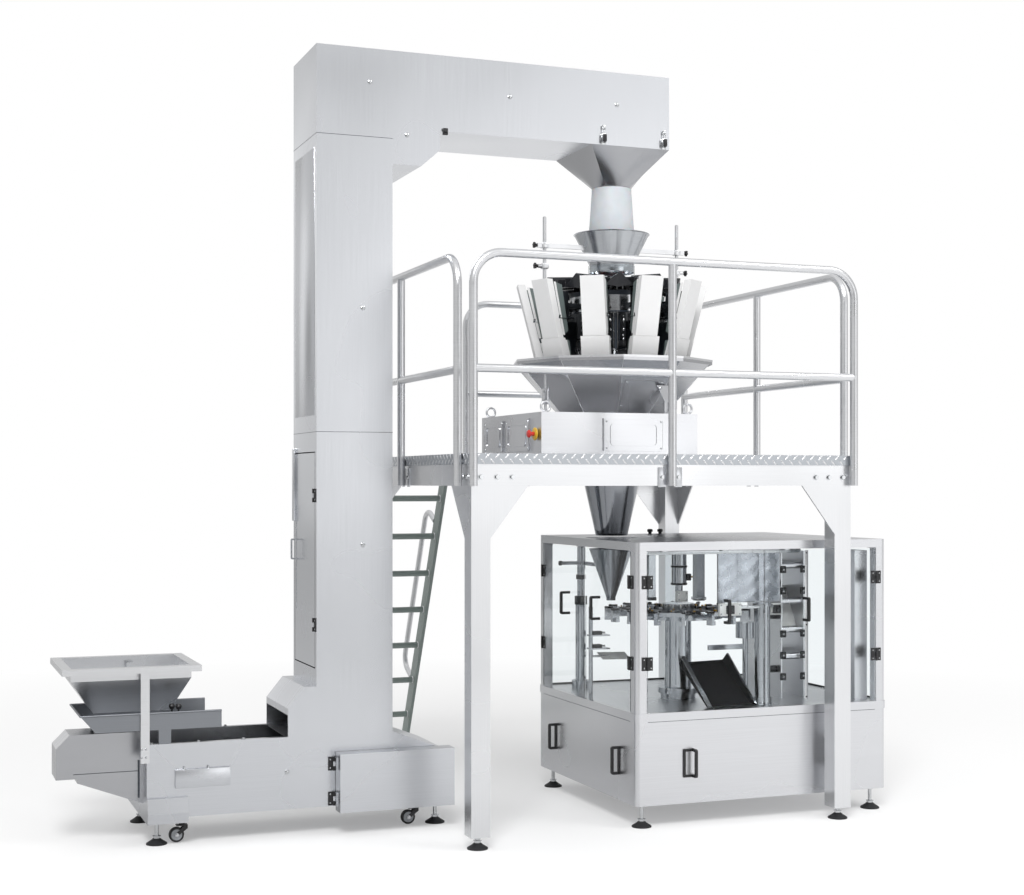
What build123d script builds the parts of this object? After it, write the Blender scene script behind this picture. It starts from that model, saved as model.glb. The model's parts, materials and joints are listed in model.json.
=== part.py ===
from build123d import *
import math
import os

os.makedirs("parts", exist_ok=True)

# Granule packaging machine: a bucket elevator lifts the product to a ten-head
# weigher on a platform, and a rotary bagging machine stands below the weigher.
# Lengths are in millimetres. The origin is the middle of the platform's front
# left foot, on the floor. +X runs along the line, +Y away from the operator.

# Clearances shared by all pieces
FIT = 0.3            # gap between curved faces that meet
PIN_PLAY = 0.06      # radial play of a hinge pin or an axle
DOOR_GAP = 6.0       # gap round a door leaf
BLEND = 1.0          # overlap that welds two pieces into one

# Platform
LEG = 100.0
LEG_BOTTOM = 63.0
SPAN_X = 2061.0
SPAN_Y = 2029.0
BEAM_BOTTOM = 1790.0
BEAM_HEIGHT = 108.0
BEAM_WIDTH = 80.0
DECK_HEIGHT = 52.0
DECK_OVERHANG = 10.0
DECK_PLATE = 5.0
DECK_HOLE_PLAY = 45.0
CROSS_SHARES = (0.33, 0.72)
GUSSET_REACH = 200.0
GUSSET_DROP = 260.0
GUSSET_PLATE = 8.0

# Railing
RAIL_OD = 42.4
TOP_RAIL_RISE = 986.0
MID_RAIL_RISE = 417.0
RAIL_BEND = 150.0
POST_INSET = 64.0
POST_SADDLE = 6.0    # how far a middle post reaches into the top rail
BACK_RAIL_START = 680.0

# Ladder
LADDER_X0 = 50.0
LADDER_X1 = 577.0
LADDER_RUN = 930.0
STRINGER_WIDTH = 100.0
STRINGER_PLATE = 20.0
RUNG_COUNT = 7
RUNG_OD = 38.0
HANDRAIL_OD = 34.0
HANDRAIL_STANDOFF = 190.0
HANDRAIL_LOW = 500.0
HANDRAIL_BELOW_DECK = 390.0
HANDRAIL_BEND = 90.0

# Levelling feet
PAD_RADIUS = 52.0
PAD_RIM = 6.0
PAD_HEIGHT = 30.0
SPINDLE_RADIUS = 10.0
NUT_RADIUS = 17.0
NUT_HEIGHT = 14.0

# Bucket elevator
SHEET = 4.0
LIP = 30.0           # rim left round an opening in a housing
ELEV_Y0 = 592.0
ELEV_DEPTH = 506.0
COLUMN_X0 = -664.0
COLUMN_WIDTH = 406.0
HEAD_NECK = 53.0
HEAD_HEIGHT = 402.0
HEAD_REACH = 236.0
BASE_X1 = 38.0
BASE_LENGTH = 1560.0
BASE_BOTTOM = 142.0
BASE_HEIGHT = 368.0
BASE_END_DROP = 113.0
CHANNEL_GAP = 157.0
HOOD_REACH = 149.0
HOOD_TOP_REACH = 62.0
HOOD_SHOULDER = 144.0
HOOD_HEIGHT = 251.0
HOOD_MOUTH = 110.0
CORNER_PLATE_REACH = 261.0
CORNER_PLATE_DROP = 190.0
CORNER_PLATE_FOOT = 158.0
CORNER_PLATE_EDGE = 100.0

# Outriggers under the elevator's base
OUTRIGGER_HEIGHT = 24.0
OUTRIGGER_WIDTH = 200.0
OUTRIGGER_FRONT = 40.0
OUTRIGGER_BACK = 212.0
OUTRIGGER_UPSTAND = 102.0
OUTRIGGER_OVERHANG = 22.0
OUTRIGGER_FOLD = 12.0
OUTRIGGER_TOE = 52.0
OUTRIGGER_LEAN = 16.0
FOOT_INSET = 60.0
FRONT_FOOT_INSET = 80.0
CASTER_INSET = 124.0

# Tail housing, tray and hopper at the feed end
TROUGH_REACH = 421.0
TROUGH_SETBACK = 145.0
TROUGH_DEPTH = 215.0
TROUGH_RISE = 195.0
TROUGH_HEIGHT = 219.0
TROUGH_CHAMFER = 65.0
SKIRT_REACH = 319.0
SKIRT_STEP = 21.0
SKIRT_DROP = 141.0
TRAY_REACH = 318.0
TRAY_LENGTH = 690.0
TRAY_SETBACK = 6.0
TRAY_DEPTH = 470.0
TRAY_CLEARANCE = 70.0
TRAY_SIDE = 84.0
TRAY_SLOPE = 72.0
SPRING_LENGTH = 60.0
SPRING_WIDTH = 30.0
SPRING_INSET = 60.0
HOPPER_REACH = 406.0
HOPPER_WIDTH = 677.0
HOPPER_DEPTH = 623.0
HOPPER_RISE = 231.0
FLANGE_WIDTH = 45.0
FLANGE_HEIGHT = 30.0
HOPPER_SKIRT = 34.0
OUTLET_X = 380.0
OUTLET_Y = 246.0
OUTLET_SHIFT = 20.0
OUTLET_DIP = 10.0
BAR_WIDTH = 43.0
BAR_PLATE = 8.0
BAR_REACH = 30.0
BAR_FOOT = 90.0

# Bucket chain
BUCKET_PITCH = 140.0
BUCKET_LENGTH = 112.0
BUCKET_HEIGHT = 84.0
BUCKET_RIM = 20.0
BUCKET_TAPER = 0.72
BUCKET_WALL = 3.0
CHAIN_BAND = 22.0
CHAIN_PLATE = 8.0
CHAIN_INSET = 96.0
CHAIN_BEND = 60.0
CHAIN_CLEARANCE = 90.0
CHAIN_RETURN_CLEARANCE = 110.0
CHAIN_HEAD_CLEARANCE = 130.0

# Column door and drive cover
CDOOR_RISE = 345.0
CDOOR_HEIGHT = 1105.0
CDOOR_MARGIN = 36.0
CDOOR_THICK = 20.0
CDOOR_HINGE_INSET = 220.0
CDOOR_PANEL_INSET = 276.0
CDOOR_PANEL_MARGIN = 24.0
CDOOR_RECESS = 2.0
CDOOR_HANDLE_HEIGHT = 112.0
CDOOR_HANDLE_STANDOFF = 38.0
CDOOR_HANDLE_BAR = 9.0
CDOOR_HANDLE_RISE = 595.0
CDOOR_HANDLE_INSET = 44.0
DRIVE_INSET = 99.0
DRIVE_WIDTH = 615.0
DRIVE_DROP = 20.0
DRIVE_HEIGHT = 299.0
DRIVE_DEPTH = 100.0
DRIVE_HINGE_INSET = 60.0

# Hinges and handles
HINGE_HEIGHT = 70.0
HINGE_LEAF = 30.0
HINGE_PLATE = 6.0
KNUCKLE_RADIUS = 7.0
KNUCKLE_GAP = 2.0
KNUCKLE_WEB = 4.0
HINGE_PIN = 3.0
PIN_STANDOFF = 8.0
HANDLE_HEIGHT = 131.0
HANDLE_STANDOFF = 60.0
HANDLE_BAR = 14.0
HANDLE_CORNER = 0.9  # corner radius as a share of the bar

# Casters
WHEEL_RADIUS = 37.5
WHEEL_WIDTH = 25.0
WHEEL_LIFT = 3.0
WHEEL_EDGE = 4.0
AXLE_RADIUS = 5.0
CASTER_TRAIL = 26.0
FORK_PLATE = 4.0
FORK_SIDE_GAP = 3.0
FORK_CROWN = 28.0
FORK_NECK_RADIUS = 15.0
SWIVEL_PLATE = 5.0
SWIVEL_LENGTH = 60.0
SWIVEL_WIDTH = 68.0

# Rotary bagging machine
PACK_OUT = 379.0     # how far its right side stands out past the platform's right legs
PACK_LENGTH = 1525.0
PACK_SETBACK = 111.0
PACK_DEPTH = 1340.0
PACK_BOTTOM = 118.0
CABINET_HEIGHT = 441.0
SILL_HEIGHT = 42.0
WINDOW_HEIGHT = 848.0
ROOF_HEIGHT = 45.0
CORNER_POST = 62.0
CORNER_RADIUS = 25.0
SILL_PROUD = 4.0
PANE = 8.0
PANE_INSET = 10.0
HINGE_FROM_SILL = 259.0
HINGE_FROM_ROOF = 164.0
HANDLE_RISE = 521.0
HANDLE_SHARE = 0.66
CABINET_HANDLE_HEIGHT = 150.0
CABINET_HANDLE_STANDOFF = 48.0
CABINET_HANDLE_RISE = 212.0
FRONT_HANDLE_INSET = 330.0
NEAR_HANDLE_INSET = 209.0
FAR_HANDLE_INSET = 256.0

# Rotor with its gripper stations
ROTOR_FROM_LEFT = 510.0
ROTOR_FROM_FRONT = 529.0
STATIONS = 8
TURNTABLE_RADIUS = 250.0
TURNTABLE_RISE = 449.0
TURNTABLE_THICK = 30.0
HUB_RADIUS = 90.0
HUB_HEIGHT = 50.0
ROTOR_COLUMN = 76.0
ROTOR_FLANGE = 113.0
ROTOR_FLANGE_HEIGHT = 60.0
FLANGE_STEP = 14.0
ARM_ROOT = 60.0
ARM_SPREAD = 75.0
ARM_WIDTH = 22.0
ARM_THICK = 14.0
ARM_PROUD = 8.0
GRIP_LENGTH = 46.0
GRIP_WIDTH = 18.0
GRIP_DROP = 44.0
GRIP_RISE = 20.0
JAW_REACH = 26.0
JAW_LENGTH = 24.0
JAW_HEIGHT = 22.0
YOKE_THICK = 12.0
CYLINDER_RADIUS = 12.0

# Posts and station tools inside the bagging machine
LEFT_POST_FROM_LEFT = 198.0
LEFT_POST_FROM_BACK = 171.0
LEFT_POST_RADIUS = 32.0
LEFT_POST_NECK = 22.0
LEFT_POST_FOOT = 54.0
LEFT_POST_STEP = 519.0
POST_FOOT_HEIGHT = 38.0
FUNNEL_ARM_DROP = 110.0
FUNNEL_ARM_WIDTH = 28.0
FUNNEL_ARM_HEIGHT = 20.0
FUNNEL_ARM_TAIL = 110.0
FUNNEL_ARM_REACH = 60.0
POLISHED_FROM_LEFT = 820.0
POLISHED_FROM_FRONT = 129.0
POLISHED_RADIUS = 44.0
POLISHED_FOOT = 51.0
POLISHED_HEIGHT = 549.0
POLISHED_CAP = 14.0
ACTUATOR_FROM_LEFT = 476.0
ACTUATOR_FROM_FRONT = 449.0
ACTUATOR_RADIUS = 42.0
ACTUATOR_LENGTH = 212.0
ACTUATOR_ROD = 21.0
TOOL_GAP = 41.0      # lowest roof-hung tool above the grippers
TOWER_FROM_LEFT = 616.0
TOWER_SIDE = 50.0
STRIP_FROM_LEFT = 259.0
STRIP_FROM_FRONT = 380.0
STRIP_WIDTH = 41.0
STRIP_HEIGHT = 274.0
SIDE_POST_FROM_LEFT = 95.0
SIDE_POST_FROM_FRONT = 790.0
SIDE_POST_RADIUS = 12.0
SIDE_POST_HEIGHT = 500.0
SHELF_PLATE = 8.0
SHELF_DEPTH = 60.0
SHELF_LENGTH = 107.0
SHELF_RISES = (259.0, 334.0)
DRUM_STAND_FROM_LEFT = 860.0
DRUM_STAND_FROM_FRONT = 389.0
DRUM_STAND_RADIUS = 16.0
BAG_DRUM_RADIUS = 54.0
BAG_DRUM_HEIGHT = 88.0
BAG_DRUM_GAP = 12.0
BLADE_LENGTH = 250.0
BLADE_HEIGHT = 28.0
BLADE_PLATE = 12.0
BLADE_RISE = 273.0

# Bag chute, foil panel, bag magazine and control housing
BAG_CHUTE_FROM_LEFT = 575.0
BAG_CHUTE_FROM_FRONT = 319.0
BAG_CHUTE_WIDTH = 300.0
BAG_CHUTE_RUN = 250.0
BAG_CHUTE_HEIGHT = 257.0
BAG_CHUTE_SIDE = 46.0
BAG_CHUTE_SHEET = 4.0
BAG_CHUTE_TURN = 10.0
PANEL_FROM_LEFT = 594.0
PANEL_FROM_FRONT = 219.0
PANEL_WIDTH = 388.0
PANEL_HEIGHT = 300.0
PANEL_PLATE = 6.0
MAGAZINE_FROM_LEFT = 1031.0
MAGAZINE_FROM_FRONT = 289.0
MAGAZINE_WIDTH = 153.0
MAGAZINE_DEPTH = 380.0
MAGAZINE_HEIGHT = 822.0
MAGAZINE_PLATE = 8.0
ROLLER_RADIUS = 18.0
ROLLER_RISES = (230.0, 380.0, 540.0, 740.0)
HOUSING_FROM_RIGHT = 70.0
HOUSING_FROM_FRONT = 79.0
HOUSING_WIDTH = 80.0
HOUSING_DEPTH = 230.0
HOUSING_HEIGHT = 829.0

# Product axis and weigher
AXIS_FROM_LEFT = 196.0
AXIS_FROM_FRONT = 736.0
HEADS = 10
WBASE_LEFT = 617.0
WBASE_RIGHT = 302.0
WBASE_FRONT = 467.0
WBASE_BACK = 451.0
WBASE_HEIGHT = 230.0
WBASE_BORE = 286.0
FLANGE_PLAY = 2.0
HATCH_PROUD = 10.0
HATCH_LOW = 25.0
HATCH_HIGH = 30.0
FRONT_HATCH = (355.0, 355.0)     # start and width from the base's left edge
SIDE_HATCHES = ((163.0, 347.0), (558.0, 293.0))   # from the base's front edge
EYE_INSET = 40.0
EYE_RADIUS = 26.0
EYE_WIRE = 6.0
EYE_COLLAR = 12.0
RIM_RADIUS = 572.0
RIM_RISE = 307.0
RIM_LIP = 26.0
CHUTE_FOOT_RADIUS = 300.0
CHUTE_SHEET = 4.0
SPIDER_HEIGHT = 46.0
SPIDER_PLATE = 10.0
SPIDER_ROOT = 60.0
CORE_RADIUS = 190.0
CORE_FOOT_RADIUS = 150.0
CORE_SHOULDER = 60.0
CORE_HEIGHT = 263.0
DRUM_RADIUS = 235.0
DRUM_HEIGHT = 122.0
TOP_CONE_RADIUS = 150.0
TOP_CONE_WALL = 50.0
TOP_CONE_HEIGHT = 113.0
COVER_WIDTH = 129.0
COVER_HEIGHT = 316.0
COVER_R0 = 456.0
COVER_R1 = 536.0
COVER_THICK = 42.0
LOWER_WIDTH = 156.0
LOWER_RISE = 5.0
LOWER_HEIGHT = 108.0
LOWER_R0 = 430.0
LOWER_GAP = 1.0
HOPPER_SHEET = 3.0
FEED_HOPPER_DEPTH = 105.0
FEED_HOPPER_LOW = 110.0
FEED_HOPPER_HIGH = 60.0
FEED_HOPPER_TAPER = 0.7
FEED_HOPPER_SLACK = 14.0
WEIGH_HOPPER_LOW = 6.0
WEIGH_HOPPER_HIGH = 90.0
WEIGH_HOPPER_TAPER = 0.6
WEIGH_HOPPER_SLACK = 40.0
HANGER_WIDTH = 30.0
HANGER_HEIGHT = 30.0
FEED_HANGER_RISE = 60.0
WEIGH_HANGER_DROP = 70.0
PAN_R0 = 160.0
PAN_R1 = 372.0
PAN_WIDTH = 64.0
PAN_HEIGHT = 46.0
PAN_WALL = 3.0
PAN_RISE = 32.0
PAN_FALL = 22.0
PAN_LEG_INSET = 50.0
PAN_LEG_LENGTH = 30.0
PAN_LEG_WIDTH = 24.0

# Cone, sleeve and chute above the weigher, and the cone's stand
CONE_GAP = 7.0
CONE_NECK = 48.0
CONE_HEIGHT = 170.0
CONE_NECK_RADIUS = 125.0
CONE_RIM_RADIUS = 210.0
CONE_RIM = 5.0
CONE_WALL = 3.0
SLEEVE_RISE = 257.0
SLEEVE_DIP = 20.0
SLEEVE_BOTTOM_RADIUS = 130.0
SLEEVE_WALL = 3.0
CUFF_DROP = 2.0
CHUTE_WIDTH = 471.0
CHUTE_DROP = 192.0
CHUTE_RING_RADIUS = 109.0
CHUTE_RING_HEIGHT = 20.0
STAND_REACH = 410.0
STAND_ROD = 10.0
STAND_RISE = 75.0
STAND_BAR_DROP = 82.0
STAND_BAR = 24.0
STAND_BAR_ROOT = 60.0
STAND_CLAMP = 44.0

# Funnels
DISCHARGE_TOP_RADIUS = 153.0
DISCHARGE_BOTTOM_RADIUS = 90.0
DISCHARGE_FLARE = 30.0
DISCHARGE_FLANGE = 70.0
DISCHARGE_GAP = 14.0
DISCHARGE_NECK = 6.0
FUNNEL_WALL = 3.0
FLANGE_PLATE = 4.0
FILL_SINK = 17.0
FILL_GAP = 40.0
FILL_NECK = 16.0
FILL_TOP_RADIUS = 125.0
FILL_NECK_RADIUS = 26.0
FILL_HOLE_PLAY = 20.0

# Places of the platform
HALF_LEG = LEG / 2
DECK_BOTTOM = BEAM_BOTTOM + BEAM_HEIGHT
DECK_TOP = DECK_BOTTOM + DECK_HEIGHT
DECK_X0 = -HALF_LEG - DECK_OVERHANG
DECK_X1 = SPAN_X + HALF_LEG + DECK_OVERHANG
DECK_Y0 = -HALF_LEG - DECK_OVERHANG
DECK_Y1 = SPAN_Y + HALF_LEG + DECK_OVERHANG
RAIL_R = RAIL_OD / 2
RAIL_OUT = DECK_OVERHANG + HALF_LEG + RAIL_R + FIT
TOP_RAIL_Z = DECK_TOP + TOP_RAIL_RISE
MID_RAIL_Z = DECK_TOP + MID_RAIL_RISE

# Places of the bagging machine, from its left side, front and sill
PACK_X1 = SPAN_X + PACK_OUT
PACK_X0 = PACK_X1 - PACK_LENGTH
PACK_Y0 = PACK_SETBACK
PACK_Y1 = PACK_Y0 + PACK_DEPTH
SILL_BOTTOM = PACK_BOTTOM + CABINET_HEIGHT
SILL_TOP = SILL_BOTTOM + SILL_HEIGHT
WINDOW_TOP = SILL_TOP + WINDOW_HEIGHT
ROOF_TOP = WINDOW_TOP + ROOF_HEIGHT
HINGE_LOW = SILL_TOP + HINGE_FROM_SILL
HINGE_HIGH = WINDOW_TOP - HINGE_FROM_ROOF
HANDLE_Z = SILL_TOP + HANDLE_RISE
CABINET_HANDLE_Z = PACK_BOTTOM + CABINET_HANDLE_RISE
AXIS_X = PACK_X0 + AXIS_FROM_LEFT
AXIS_Y = PACK_Y0 + AXIS_FROM_FRONT
ROTOR_X = PACK_X0 + ROTOR_FROM_LEFT
ROTOR_Y = PACK_Y0 + ROTOR_FROM_FRONT
TURNTABLE_Z0 = SILL_TOP + TURNTABLE_RISE
TURNTABLE_Z1 = TURNTABLE_Z0 + TURNTABLE_THICK
STATION_ANGLE = math.degrees(math.atan2(AXIS_Y - ROTOR_Y, AXIS_X - ROTOR_X))
PITCH_RADIUS = math.hypot(AXIS_X - ROTOR_X, AXIS_Y - ROTOR_Y)
LEFT_POST_X = PACK_X0 + LEFT_POST_FROM_LEFT
LEFT_POST_Y = PACK_Y1 - LEFT_POST_FROM_BACK
POLISHED_X = PACK_X0 + POLISHED_FROM_LEFT
POLISHED_Y = PACK_Y0 + POLISHED_FROM_FRONT
TOOL_BOTTOM = TURNTABLE_Z1 + GRIP_RISE + TOOL_GAP
FILL_TOP = WINDOW_TOP - FILL_SINK
FILL_BOTTOM = TURNTABLE_Z1 + GRIP_RISE + FILL_GAP
DISCHARGE_BOTTOM = ROOF_TOP + DISCHARGE_GAP

# Heights of the weigher, from the deck up
WBASE_X0 = AXIS_X - WBASE_LEFT
WBASE_X1 = AXIS_X + WBASE_RIGHT
WBASE_Y0 = AXIS_Y - WBASE_FRONT
WBASE_Y1 = AXIS_Y + WBASE_BACK
WBASE_TOP = DECK_TOP + WBASE_HEIGHT
RIM_Z = WBASE_TOP + RIM_RISE
LOWER_BOTTOM = RIM_Z + LOWER_RISE
COVER_BOTTOM = LOWER_BOTTOM + LOWER_HEIGHT
COVER_TOP = COVER_BOTTOM + COVER_HEIGHT
CORE_TOP = RIM_Z + CORE_HEIGHT
DRUM_TOP = CORE_TOP + DRUM_HEIGHT
TOP_CONE_TOP = DRUM_TOP + TOP_CONE_HEIGHT
CONE_BOTTOM = TOP_CONE_TOP + CONE_GAP
CONE_NECK_Z = CONE_BOTTOM + CONE_NECK
CONE_TOP = CONE_NECK_Z + CONE_HEIGHT
STAND_TOP = CONE_TOP + STAND_RISE
STAND_BAR_Z = CONE_TOP - STAND_BAR_DROP
CHUTE_RING_Z = CONE_TOP + SLEEVE_RISE
SLEEVE_BOTTOM = CONE_TOP - SLEEVE_DIP
CUFF_TOP = CHUTE_RING_Z - CUFF_DROP
CUFF_BOTTOM = CHUTE_RING_Z - CHUTE_RING_HEIGHT

# Places of the elevator: its head stands over the weigher
ELEV_Y1 = ELEV_Y0 + ELEV_DEPTH
ELEV_MID_Y = (ELEV_Y0 + ELEV_Y1) / 2
COLUMN_X1 = COLUMN_X0 + COLUMN_WIDTH
HEAD_BOTTOM = CHUTE_RING_Z + CHUTE_DROP
HEAD_TOP = HEAD_BOTTOM + HEAD_HEIGHT
HEAD_X1 = AXIS_X + HEAD_REACH
COLUMN_TOP = HEAD_BOTTOM - HEAD_NECK
BASE_X0 = BASE_X1 - BASE_LENGTH
BASE_TOP = BASE_BOTTOM + BASE_HEIGHT
BASE_END_TOP = BASE_TOP - BASE_END_DROP
CHANNEL_END = COLUMN_X0 - CHANNEL_GAP
HOOD_FOOT_X = COLUMN_X0 - HOOD_REACH
HOOD_TOP_X = COLUMN_X0 - HOOD_TOP_REACH
HOOD_SHOULDER_Z = BASE_TOP + HOOD_SHOULDER
HOOD_TOP_Z = BASE_TOP + HOOD_HEIGHT
OUTRIGGER_BOTTOM = BASE_BOTTOM - OUTRIGGER_HEIGHT
OUTRIGGER_STARTS = (BASE_X0, BASE_X1 + OUTRIGGER_OVERHANG - OUTRIGGER_WIDTH)
ELEV_FEET_X = (BASE_X0 + FOOT_INSET, BASE_X1 + OUTRIGGER_OVERHANG - FOOT_INSET)
FRONT_FOOT_Y = ELEV_Y0 + FRONT_FOOT_INSET
BACK_FOOT_Y = ELEV_Y1 + OUTRIGGER_BACK - FOOT_INSET
TROUGH_X0 = BASE_X0 - TROUGH_REACH
TROUGH_Y0 = ELEV_Y0 + TROUGH_SETBACK
TROUGH_BOTTOM = BASE_BOTTOM + TROUGH_RISE
TROUGH_TOP = TROUGH_BOTTOM + TROUGH_HEIGHT
SKIRT_X0 = BASE_X0 - SKIRT_REACH
TRAY_X0 = BASE_X0 - TRAY_REACH
TRAY_X1 = TRAY_X0 + TRAY_LENGTH
TRAY_Y0 = ELEV_Y0 + TRAY_SETBACK
TRAY_FLOOR = BASE_TOP + TRAY_CLEARANCE
TRAY_RIM = TRAY_FLOOR + TRAY_SIDE
HOPPER_X0 = BASE_X0 - HOPPER_REACH
HOPPER_TOP = TRAY_RIM + HOPPER_RISE
OUTLET_Z = TRAY_RIM - OUTLET_DIP
BAR_X0 = BASE_X0 - BAR_REACH
BAR_BOTTOM = BASE_TOP - BAR_FOOT
CDOOR_Z0 = BASE_TOP + CDOOR_RISE
CDOOR_Z1 = CDOOR_Z0 + CDOOR_HEIGHT
DRIVE_X0 = COLUMN_X0 + DRIVE_INSET
DRIVE_X1 = DRIVE_X0 + DRIVE_WIDTH
DRIVE_Z0 = BASE_BOTTOM - DRIVE_DROP
DRIVE_Z1 = DRIVE_Z0 + DRIVE_HEIGHT
COLUMN_PIN = (COLUMN_X0 - PIN_STANDOFF, ELEV_Y0 + CDOOR_MARGIN - DOOR_GAP / 2)
DRIVE_PIN = (DRIVE_X0 - PIN_STANDOFF, ELEV_Y0 - PIN_STANDOFF)
CASTER_TOP = OUTRIGGER_BOTTOM


def block(x0, x1, y0, y1, z0, z1):
    """Box between two corners."""
    centre = Pos((x0 + x1) / 2, (y0 + y1) / 2, (z0 + z1) / 2)
    return centre * Box(x1 - x0, y1 - y0, z1 - z0)


def rod_z(x, y, z0, z1, radius):
    """Upright cylinder."""
    return Pos(x, y, (z0 + z1) / 2) * Cylinder(radius, z1 - z0)


def rod_x(x0, x1, y, z, radius):
    """Cylinder along X."""
    return Pos((x0 + x1) / 2, y, z) * Rot(0, 90, 0) * Cylinder(radius, x1 - x0)


def rod_y(x, y0, y1, z, radius):
    """Cylinder along Y."""
    return Pos(x, (y0 + y1) / 2, z) * Rot(90, 0, 0) * Cylinder(radius, y1 - y0)


def plate_xz(points, y0, y1):
    """Outline in the XZ plane, given as (x, z), drawn out from y0 to y1."""
    outline = Polyline(*[(x, y0, z) for x, z in points], close=True)
    return extrude(make_face(outline), amount=y1 - y0, dir=(0, 1, 0))


def plate_yz(points, x0, x1):
    """Outline in the YZ plane, given as (y, z), drawn out from x0 to x1."""
    outline = Polyline(*[(x0, y, z) for y, z in points], close=True)
    return extrude(make_face(outline), amount=x1 - x0, dir=(1, 0, 0))


def turned(points):
    """Outline of (radius, z) points turned round the Z axis."""
    outline = Polyline(*[(r, 0, z) for r, z in points], close=True)
    return revolve(make_face(outline), axis=Axis.Z)


def save(name, shape):
    export_step(shape, "parts/" + name + ".step")


def save_all(name, solids):
    export_step(Compound(children=list(solids)), "parts/" + name + ".step")


def hinge():
    """A hinge round the Z axis: the fixed leaf lies along -X and the moving
    leaf along +X, both with their backs on the plane y = PIN_STANDOFF."""
    third = HINGE_HEIGHT / 3
    half = HINGE_HEIGHT / 2
    root = KNUCKLE_RADIUS + PIN_PLAY + KNUCKLE_GAP
    inner = root - KNUCKLE_WEB
    front = PIN_STANDOFF - HINGE_PLATE
    fixed = block(-HINGE_LEAF, -inner, front, PIN_STANDOFF, -half, half)
    moving = block(inner, HINGE_LEAF, front, PIN_STANDOFF, -half, half)
    for side in (-1, 1):
        centre = side * third
        fixed += rod_z(0, 0, centre - third / 2, centre + third / 2, KNUCKLE_RADIUS)
        moving -= rod_z(0, 0, centre - third / 2 - FIT, centre + third / 2 + FIT, root)
    fixed -= rod_z(0, 0, -third / 2 - FIT, third / 2 + FIT, root)
    moving += rod_z(0, 0, -third / 2, third / 2, KNUCKLE_RADIUS)
    moving -= rod_z(0, 0, -third / 2, third / 2, HINGE_PIN + PIN_PLAY)
    fixed += rod_z(0, 0, -half, half, HINGE_PIN)
    return fixed, moving


def c_handle(height, standoff, bar):
    """C-handle on the XZ plane: it stands out along -Y, with its feet on y = 0."""
    half = height / 2
    grip = block(-bar / 2, bar / 2, -standoff, -standoff + bar, -half, half)
    for side in (-1, 1):
        z = side * (half - bar / 2)
        grip += block(-bar / 2, bar / 2, -standoff, 0, z - bar / 2, z + bar / 2)
    outer = grip.edges().filter_by(Axis.X).group_by(Axis.Y)[0]
    return fillet(outer, bar * HANDLE_CORNER)


# Platform


def make_legs():
    solids = []
    for ix, sx in ((0, 1), (SPAN_X, -1)):
        for iy, sy in ((0, 1), (SPAN_Y, -1)):
            leg = block(ix - HALF_LEG, ix + HALF_LEG, iy - HALF_LEG, iy + HALF_LEG,
                        LEG_BOTTOM, BEAM_BOTTOM)
            low = BEAM_BOTTOM - GUSSET_DROP
            y_out = iy - sy * HALF_LEG
            y_in = y_out + sy * GUSSET_PLATE
            edge = ix + sx * (HALF_LEG - BLEND)
            tip = ix + sx * (HALF_LEG + GUSSET_REACH)
            outline = [(edge, low), (edge, BEAM_BOTTOM), (tip, BEAM_BOTTOM)]
            leg += plate_xz(outline, min(y_out, y_in), max(y_out, y_in))
            x_out = ix - sx * HALF_LEG
            x_in = x_out + sx * GUSSET_PLATE
            edge = iy + sy * (HALF_LEG - BLEND)
            tip = iy + sy * (HALF_LEG + GUSSET_REACH)
            outline = [(edge, low), (edge, BEAM_BOTTOM), (tip, BEAM_BOTTOM)]
            leg += plate_yz(outline, min(x_out, x_in), max(x_out, x_in))
            solids.append(leg)
    return solids


def make_long_beams():
    solids = []
    for y, s in ((-HALF_LEG, 1), (SPAN_Y + HALF_LEG, -1)):
        y_in = y + s * BEAM_WIDTH
        solids.append(block(-HALF_LEG, SPAN_X + HALF_LEG, min(y, y_in), max(y, y_in),
                            BEAM_BOTTOM, DECK_BOTTOM))
    return solids


CROSS_Y0 = -HALF_LEG + BEAM_WIDTH
CROSS_Y1 = SPAN_Y + HALF_LEG - BEAM_WIDTH


def cross_starts():
    starts = [-HALF_LEG, SPAN_X + HALF_LEG - BEAM_WIDTH]
    for share in CROSS_SHARES:
        starts.append(share * SPAN_X - BEAM_WIDTH / 2)
    return starts


def make_cross_beams():
    return [block(x, x + BEAM_WIDTH, CROSS_Y0, CROSS_Y1, BEAM_BOTTOM, DECK_BOTTOM)
            for x in cross_starts()]


def make_deck():
    deck = block(DECK_X0, DECK_X1, DECK_Y0, DECK_Y1, DECK_BOTTOM, DECK_TOP)
    inner = block(DECK_X0 + DECK_PLATE, DECK_X1 - DECK_PLATE,
                  DECK_Y0 + DECK_PLATE, DECK_Y1 - DECK_PLATE,
                  DECK_BOTTOM, DECK_TOP - DECK_PLATE)
    deck -= inner
    for x in cross_starts():
        deck += block(x, x + BEAM_WIDTH / 2, DECK_Y0 + BLEND, DECK_Y1 - BLEND,
                      DECK_BOTTOM, DECK_TOP - BLEND)
    deck -= rod_z(AXIS_X, AXIS_Y, DECK_BOTTOM - BLEND, DECK_TOP + BLEND,
                  DISCHARGE_TOP_RADIUS + DECK_HOLE_PLAY)
    return deck


def rail_runs():
    """Each run: start and end of the railing's line on the deck edge."""
    front = -RAIL_OUT
    back = SPAN_Y + RAIL_OUT
    left = -RAIL_OUT
    right = SPAN_X + RAIL_OUT
    return [
        ((-HALF_LEG, front), (SPAN_X + HALF_LEG, front)),
        ((left, POST_INSET), (left, SPAN_Y - POST_INSET)),
        ((right, POST_INSET), (right, SPAN_Y - POST_INSET)),
        ((BACK_RAIL_START, back), (SPAN_X + HALF_LEG, back)),
    ]


def post_places():
    places = []
    for (x0, y0), (x1, y1) in rail_runs():
        places.append([(x0, y0), ((x0 + x1) / 2, (y0 + y1) / 2), (x1, y1)])
    return places


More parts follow.
